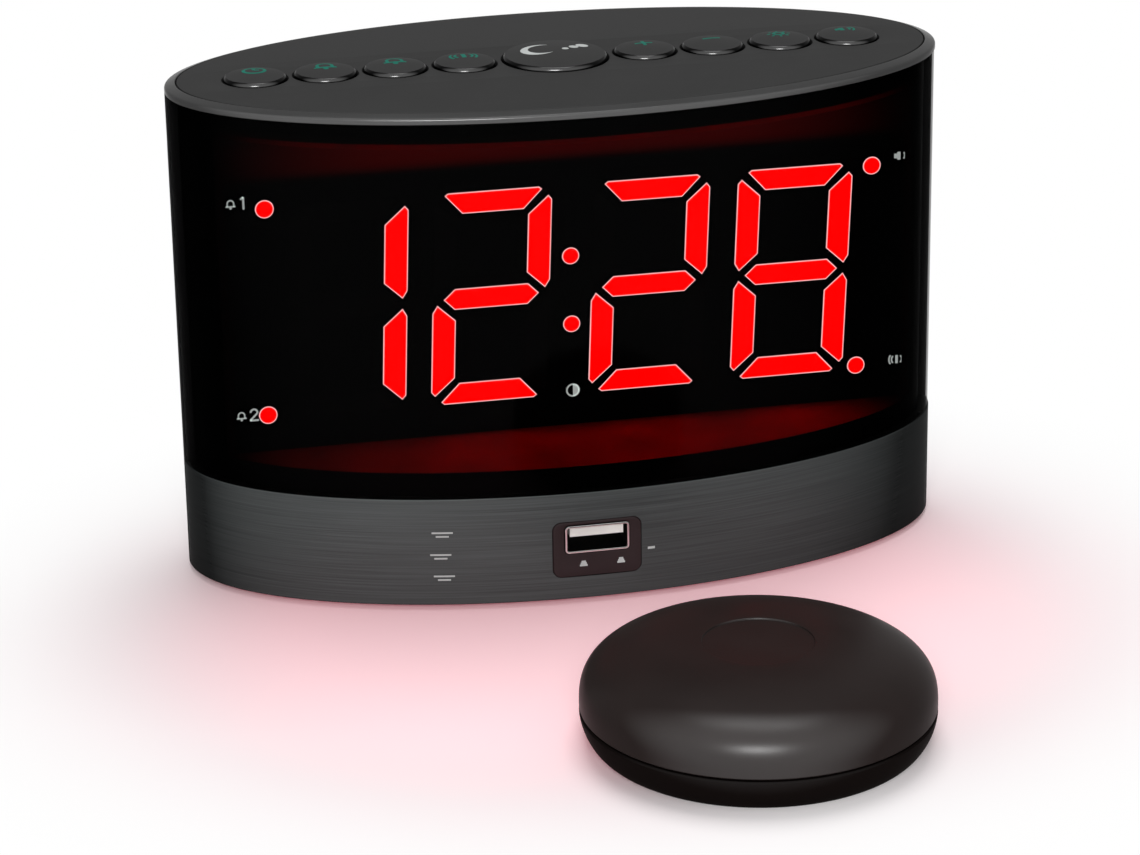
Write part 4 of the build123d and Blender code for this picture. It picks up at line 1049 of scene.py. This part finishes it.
# Marks beside the indicator dots
small_bell = moved(bell, (-2.6, 0.1), 0.5)
alarm_one = bar((0.0, -1.3), (0.0, 1.3), 0.4) + bar((-0.6, 0.8), (0.0, 1.3), 0.35) + small_bell
alarm_one = moved(alarm_one, (-66.4, 82.0))
alarm_two = arc((0.0, 0.55), 0.7, 0.4, -20, 180, 10) + bar((0.62, 0.3), (-0.8, -1.1), 0.4)
alarm_two = moved(alarm_two + bar((-0.9, -1.15), (0.95, -1.15), 0.4) + small_bell, (-66.2, 36.5))
afternoon = arc((0.0, 0.0), 1.3, 0.35) + arc((0.0, 0.0), 0.65, 1.3, -90, 90, 12)
display_marks = {
    "alarm_one_mark": alarm_one,
    "alarm_two_mark": alarm_two,
    "afternoon_mark": moved(afternoon, (0.6, 35.9)),
    "sound_mark": moved(sound, (71.0, 81.4), 0.85),
    "shake_mark": moved(waves, (70.6, 36.5), 0.7),
}
for name, quads in display_marks.items():
    printed(name, quads, on_display, finishes["white_ink"], "clock")

# Marks on the band and the port plate
side_marks = []
for x, z in ((-32.1, 16.7), (-32.5, 11.9), (-31.9, 7.2)):
    side_marks += bar((x - 2.1, z + 0.35), (x + 2.1, z + 0.35), 0.35)
    side_marks += bar((x - 1.3, z - 0.45), (x + 1.3, z - 0.45), 0.35)
side_marks += bar((9.9, 10.8), (11.4, 10.8), 0.5)
printed("band_marks", side_marks, on_band, finishes["pale_ink"], "clock")
port_marks = []
for x in (-3.6, 4.2):
    for k in range(3):
        half = 0.45 + k * 0.18
        port_marks += moved(bar((-half, 0.0), (half, 0.0), 0.4), (x, 9.3 - 0.4 * k))
printed("port_marks", port_marks, on_port_plate, finishes["pale_ink"], "clock")

# Lit segments and dots: a paler line runs round the edge of each lit face


def lit_piece(node, name):
    """A merged copy of lit segments or dots, with the pale edge set in from each front face."""
    work = bmesh.new()
    work.from_mesh(nodes[node].data)
    bmesh.ops.remove_doubles(work, verts=work.verts, dist=0.001 * MM)
    bmesh.ops.dissolve_limit(work, angle_limit=math.radians(1), verts=work.verts, edges=work.edges)
    fronts = [face for face in work.faces if face.normal.y < -0.9]
    for face in work.faces:
        face.material_index = 1
        face.smooth = False
    bmesh.ops.inset_individual(work, faces=fronts, thickness=edge_glow * MM, use_even_offset=True)
    for face in fronts:
        face.material_index = 0
    lit = bpy.data.meshes.new(name)
    lit.materials.append(finishes["lit"])
    lit.materials.append(finishes["lit_edge"])
    work.to_mesh(lit)
    work.free()
    return lit


show("lit_digits", lit_piece("lit_segments", "lit_digits"), "clock", ["lit_segments"])
show("lit_dots", lit_piece("indicator_dots", "lit_dots"), "clock", ["indicator_dots"])

# Puck: domed upper shell with its recess, and the shallow lower shell


def bulge(rim_radius, rim_height, end_radius, end_height, exponent, from_radius, steps=40):
    """Points of a superellipse quarter from the rim to the given radius."""
    points = []
    for k in range(steps + 1):
        turn = math.pi / 2 * k / steps
        across = end_radius + (rim_radius - end_radius) * max(math.cos(turn), 0.0) ** (2 / exponent)
        height = rim_height + (end_height - rim_height) * math.sin(turn) ** (2 / exponent)
        if across >= from_radius:
            points.append((across, height, 0.0))
    return points


dome_end = recess_radius + 0.4
outer_dome = bulge(puck_radius, upper_rim + seam_edge, 0.0, puck_top, dome_exponent, dome_end)
inner_dome = bulge(puck_radius - puck_wall, upper_rim, 0.0, puck_top - puck_wall, dome_exponent, 0.0)
recess_rim_height = puck_top - recess_depth * 0.35
upper_section = rounded(
    [(puck_radius - seam_edge, upper_rim, 0.0)]
    + outer_dome
    + [
        (recess_radius, recess_rim_height, recess_edge),
        (recess_radius, puck_top - recess_depth, recess_edge * 0.6),
        (0.0, puck_top - recess_depth, 0.0),
    ]
    + inner_dome[::-1]
)
puck_centre = (puck_x, puck_y)
puck_upper = turned("puck_upper", upper_section, finishes["puck"], puck_centre, 193)
outer_bowl = bulge(puck_radius, lower_rim - seam_edge, puck_base_radius, puck_bottom, bowl_exponent, 0.0, 20)
inner_base = puck_base_radius - puck_wall
inner_bowl = bulge(puck_radius - puck_wall, lower_rim, inner_base, inner_floor, bowl_exponent, 0.0, 20)
lower_section = rounded(
    [(puck_radius - seam_edge, lower_rim, 0.0)]
    + outer_bowl
    + [
        (pad_seat_radius, puck_bottom, 0.0),
        (pad_seat_radius, pad_seat_height, 0.0),
        (0.0, pad_seat_height, 0.0),
        (0.0, inner_floor, 0.0),
    ]
    + inner_bowl[::-1]
)
puck_lower = turned("puck_lower", lower_section, finishes["puck_lower"], puck_centre, 193)
gland_lie = Matrix.Translation((puck_x * MM, (puck_y + puck_radius) * MM, gland_height * MM)) @ upright
gland_outline = circle(0.0, 0.0, gland_radius + gland_gap)
gland_cutter = plate("gland_cutter", [gland_outline], gland_depth, 0.0, finishes["puck"], gland_lie)
gland_cutter_two = gland_cutter.copy()
show("puck_upper", cut(puck_upper, gland_cutter), "shaker", ["shaker_upper_shell"])
show("puck_lower", cut(puck_lower, gland_cutter_two), "shaker", ["shaker_lower_shell"])

# Floor, lights and camera


def seen_directly(tree):
    """1 for rays that show a thing to the eye, directly, in a reflection or through glass, otherwise 0."""
    rays = add_node(tree, "ShaderNodeLightPath").outputs
    shown = calc(tree, "MAXIMUM", rays["Is Camera Ray"], rays["Is Glossy Ray"])
    return calc(tree, "MAXIMUM", shown, rays["Is Transmission Ray"])


def studio_floor():
    """Paper floor with the object's shadow and a pink glow painted near the object, in its colour and as
    faint emission; plain white farther off.
    """
    material, tree, place = new_finish("paper_floor")
    inputs = {"Vector": place, "Location": (0.0, 0.045, 0.0), "Scale": (0.85, 1.0, 0.0)}
    drawn_in = add_node(tree, "ShaderNodeMapping", None, inputs).outputs["Vector"]
    reach = add_node(tree, "ShaderNodeVectorMath", {"operation": "LENGTH"}, {0: drawn_in}).outputs["Value"]
    # Painted glow: the paper's colour is pink near the object and white farther off
    painted_pink_fade = ranged(tree, reach, (0.05, 0.13), (0.0, 1.0), True)
    inputs = {"Factor": painted_pink_fade, 6: linear("#FCE4E8"), 7: linear("#FEFDFD")}
    tone = add_node(tree, "ShaderNodeMix", {"data_type": "RGBA"}, inputs).outputs[2]
    shown = seen_directly(tree)
    # Painted light: a faint pink emission near the object, seen directly and in reflections
    painted_glow_near = ranged(tree, reach, (0.09, 0.05), (0.0, 1.0), True)
    inputs = {
        "Base Color": tone,
        "Roughness": 0.9,
        "Specular IOR Level": 0.1,
        "Emission Color": linear("#8A5058"),
        "Emission Strength": calc(tree, "MULTIPLY", painted_glow_near, shown),
    }
    paper = add_node(tree, "ShaderNodeBsdfPrincipled", None, inputs).outputs["BSDF"]
    inputs = {"Color": linear("#FFFFFF"), "Strength": 1.0}
    white = add_node(tree, "ShaderNodeEmission", None, inputs).outputs["Emission"]
    far = ranged(tree, reach, (0.07, 0.14), (0.0, 1.0), True)
    share = calc(tree, "MULTIPLY", far, shown)
    blend = add_node(tree, "ShaderNodeMixShader", None, {0: share, 1: paper, 2: white})
    add_node(tree, "ShaderNodeOutputMaterial", None, {"Surface": blend.outputs["Shader"]})
    return material


floor_size = 6.0  # metres from the middle to each side
floor_mesh = bpy.data.meshes.new("studio_floor")
floor_corners = [(sx * floor_size, sy * floor_size, 0.0) for sx, sy in ((-1, -1), (1, -1), (1, 1), (-1, 1))]
floor_mesh.from_pydata(floor_corners, [], [(0, 1, 2, 3)])
floor_mesh.materials.append(studio_floor())
floor = bpy.data.objects.new("studio_floor", floor_mesh)
bpy.context.scene.collection.objects.link(floor)

sky_light = 0.38
world = bpy.data.worlds.new("studio")
bpy.context.scene.world = world
world.use_nodes = True
sky = world.node_tree
sky.nodes.clear()
level = ranged(sky, seen_directly(sky), (0.0, 1.0), (sky_light, 1.0))
backdrop = add_node(sky, "ShaderNodeBackground", None, {"Color": linear("#FFFFFF"), "Strength": level})
add_node(sky, "ShaderNodeOutputWorld", None, {"Surface": backdrop.outputs["Background"]})


def softbox(name, place, target, width, height, power):
    """A rectangular studio lamp that faces its target."""
    lamp = bpy.data.lights.new(name, "AREA")
    lamp.shape = "RECTANGLE"
    lamp.size = width
    lamp.size_y = height
    lamp.energy = power
    holder = bpy.data.objects.new(name, lamp)
    bpy.context.scene.collection.objects.link(holder)
    towards = Vector(target) - Vector(place)
    holder.matrix_world = Matrix.Translation(place) @ towards.to_track_quat("-Z", "Y").to_matrix().to_4x4()
    return holder


softbox("key_softbox", (-0.26, -1.17, 0.6), (0.0, -0.06, 0.04), 0.45, 0.3, 7.0)
softbox("top_softbox", (0.12, 0.26, 1.35), (0.0, -0.04, 0.0), 0.8, 0.8, 9.5)

camera_target = Vector((1.9, 0.0, 23.7)) * MM
camera_azimuth = math.radians(11.6)
camera_elevation = math.radians(20.93)
camera_distance = 823.7 * MM
camera_roll = math.radians(-0.9)
away = Vector(
    (
        -math.sin(camera_azimuth) * math.cos(camera_elevation),
        -math.cos(camera_azimuth) * math.cos(camera_elevation),
        math.sin(camera_elevation),
    )
)
camera_data = bpy.data.cameras.new("camera")
camera_data.sensor_width = 36.0
camera_data.lens = 122.8
camera_data.clip_start = 0.05
camera_data.clip_end = 50.0
camera = bpy.data.objects.new("camera", camera_data)
bpy.context.scene.collection.objects.link(camera)
camera.matrix_world = (
    Matrix.Translation(camera_target + away * camera_distance)
    @ away.to_track_quat("Z", "Y").to_matrix().to_4x4()
    @ Matrix.Rotation(camera_roll, 4, "Z")
)
bpy.context.scene.camera = camera
bpy.context.scene.view_settings.view_transform = "Standard"
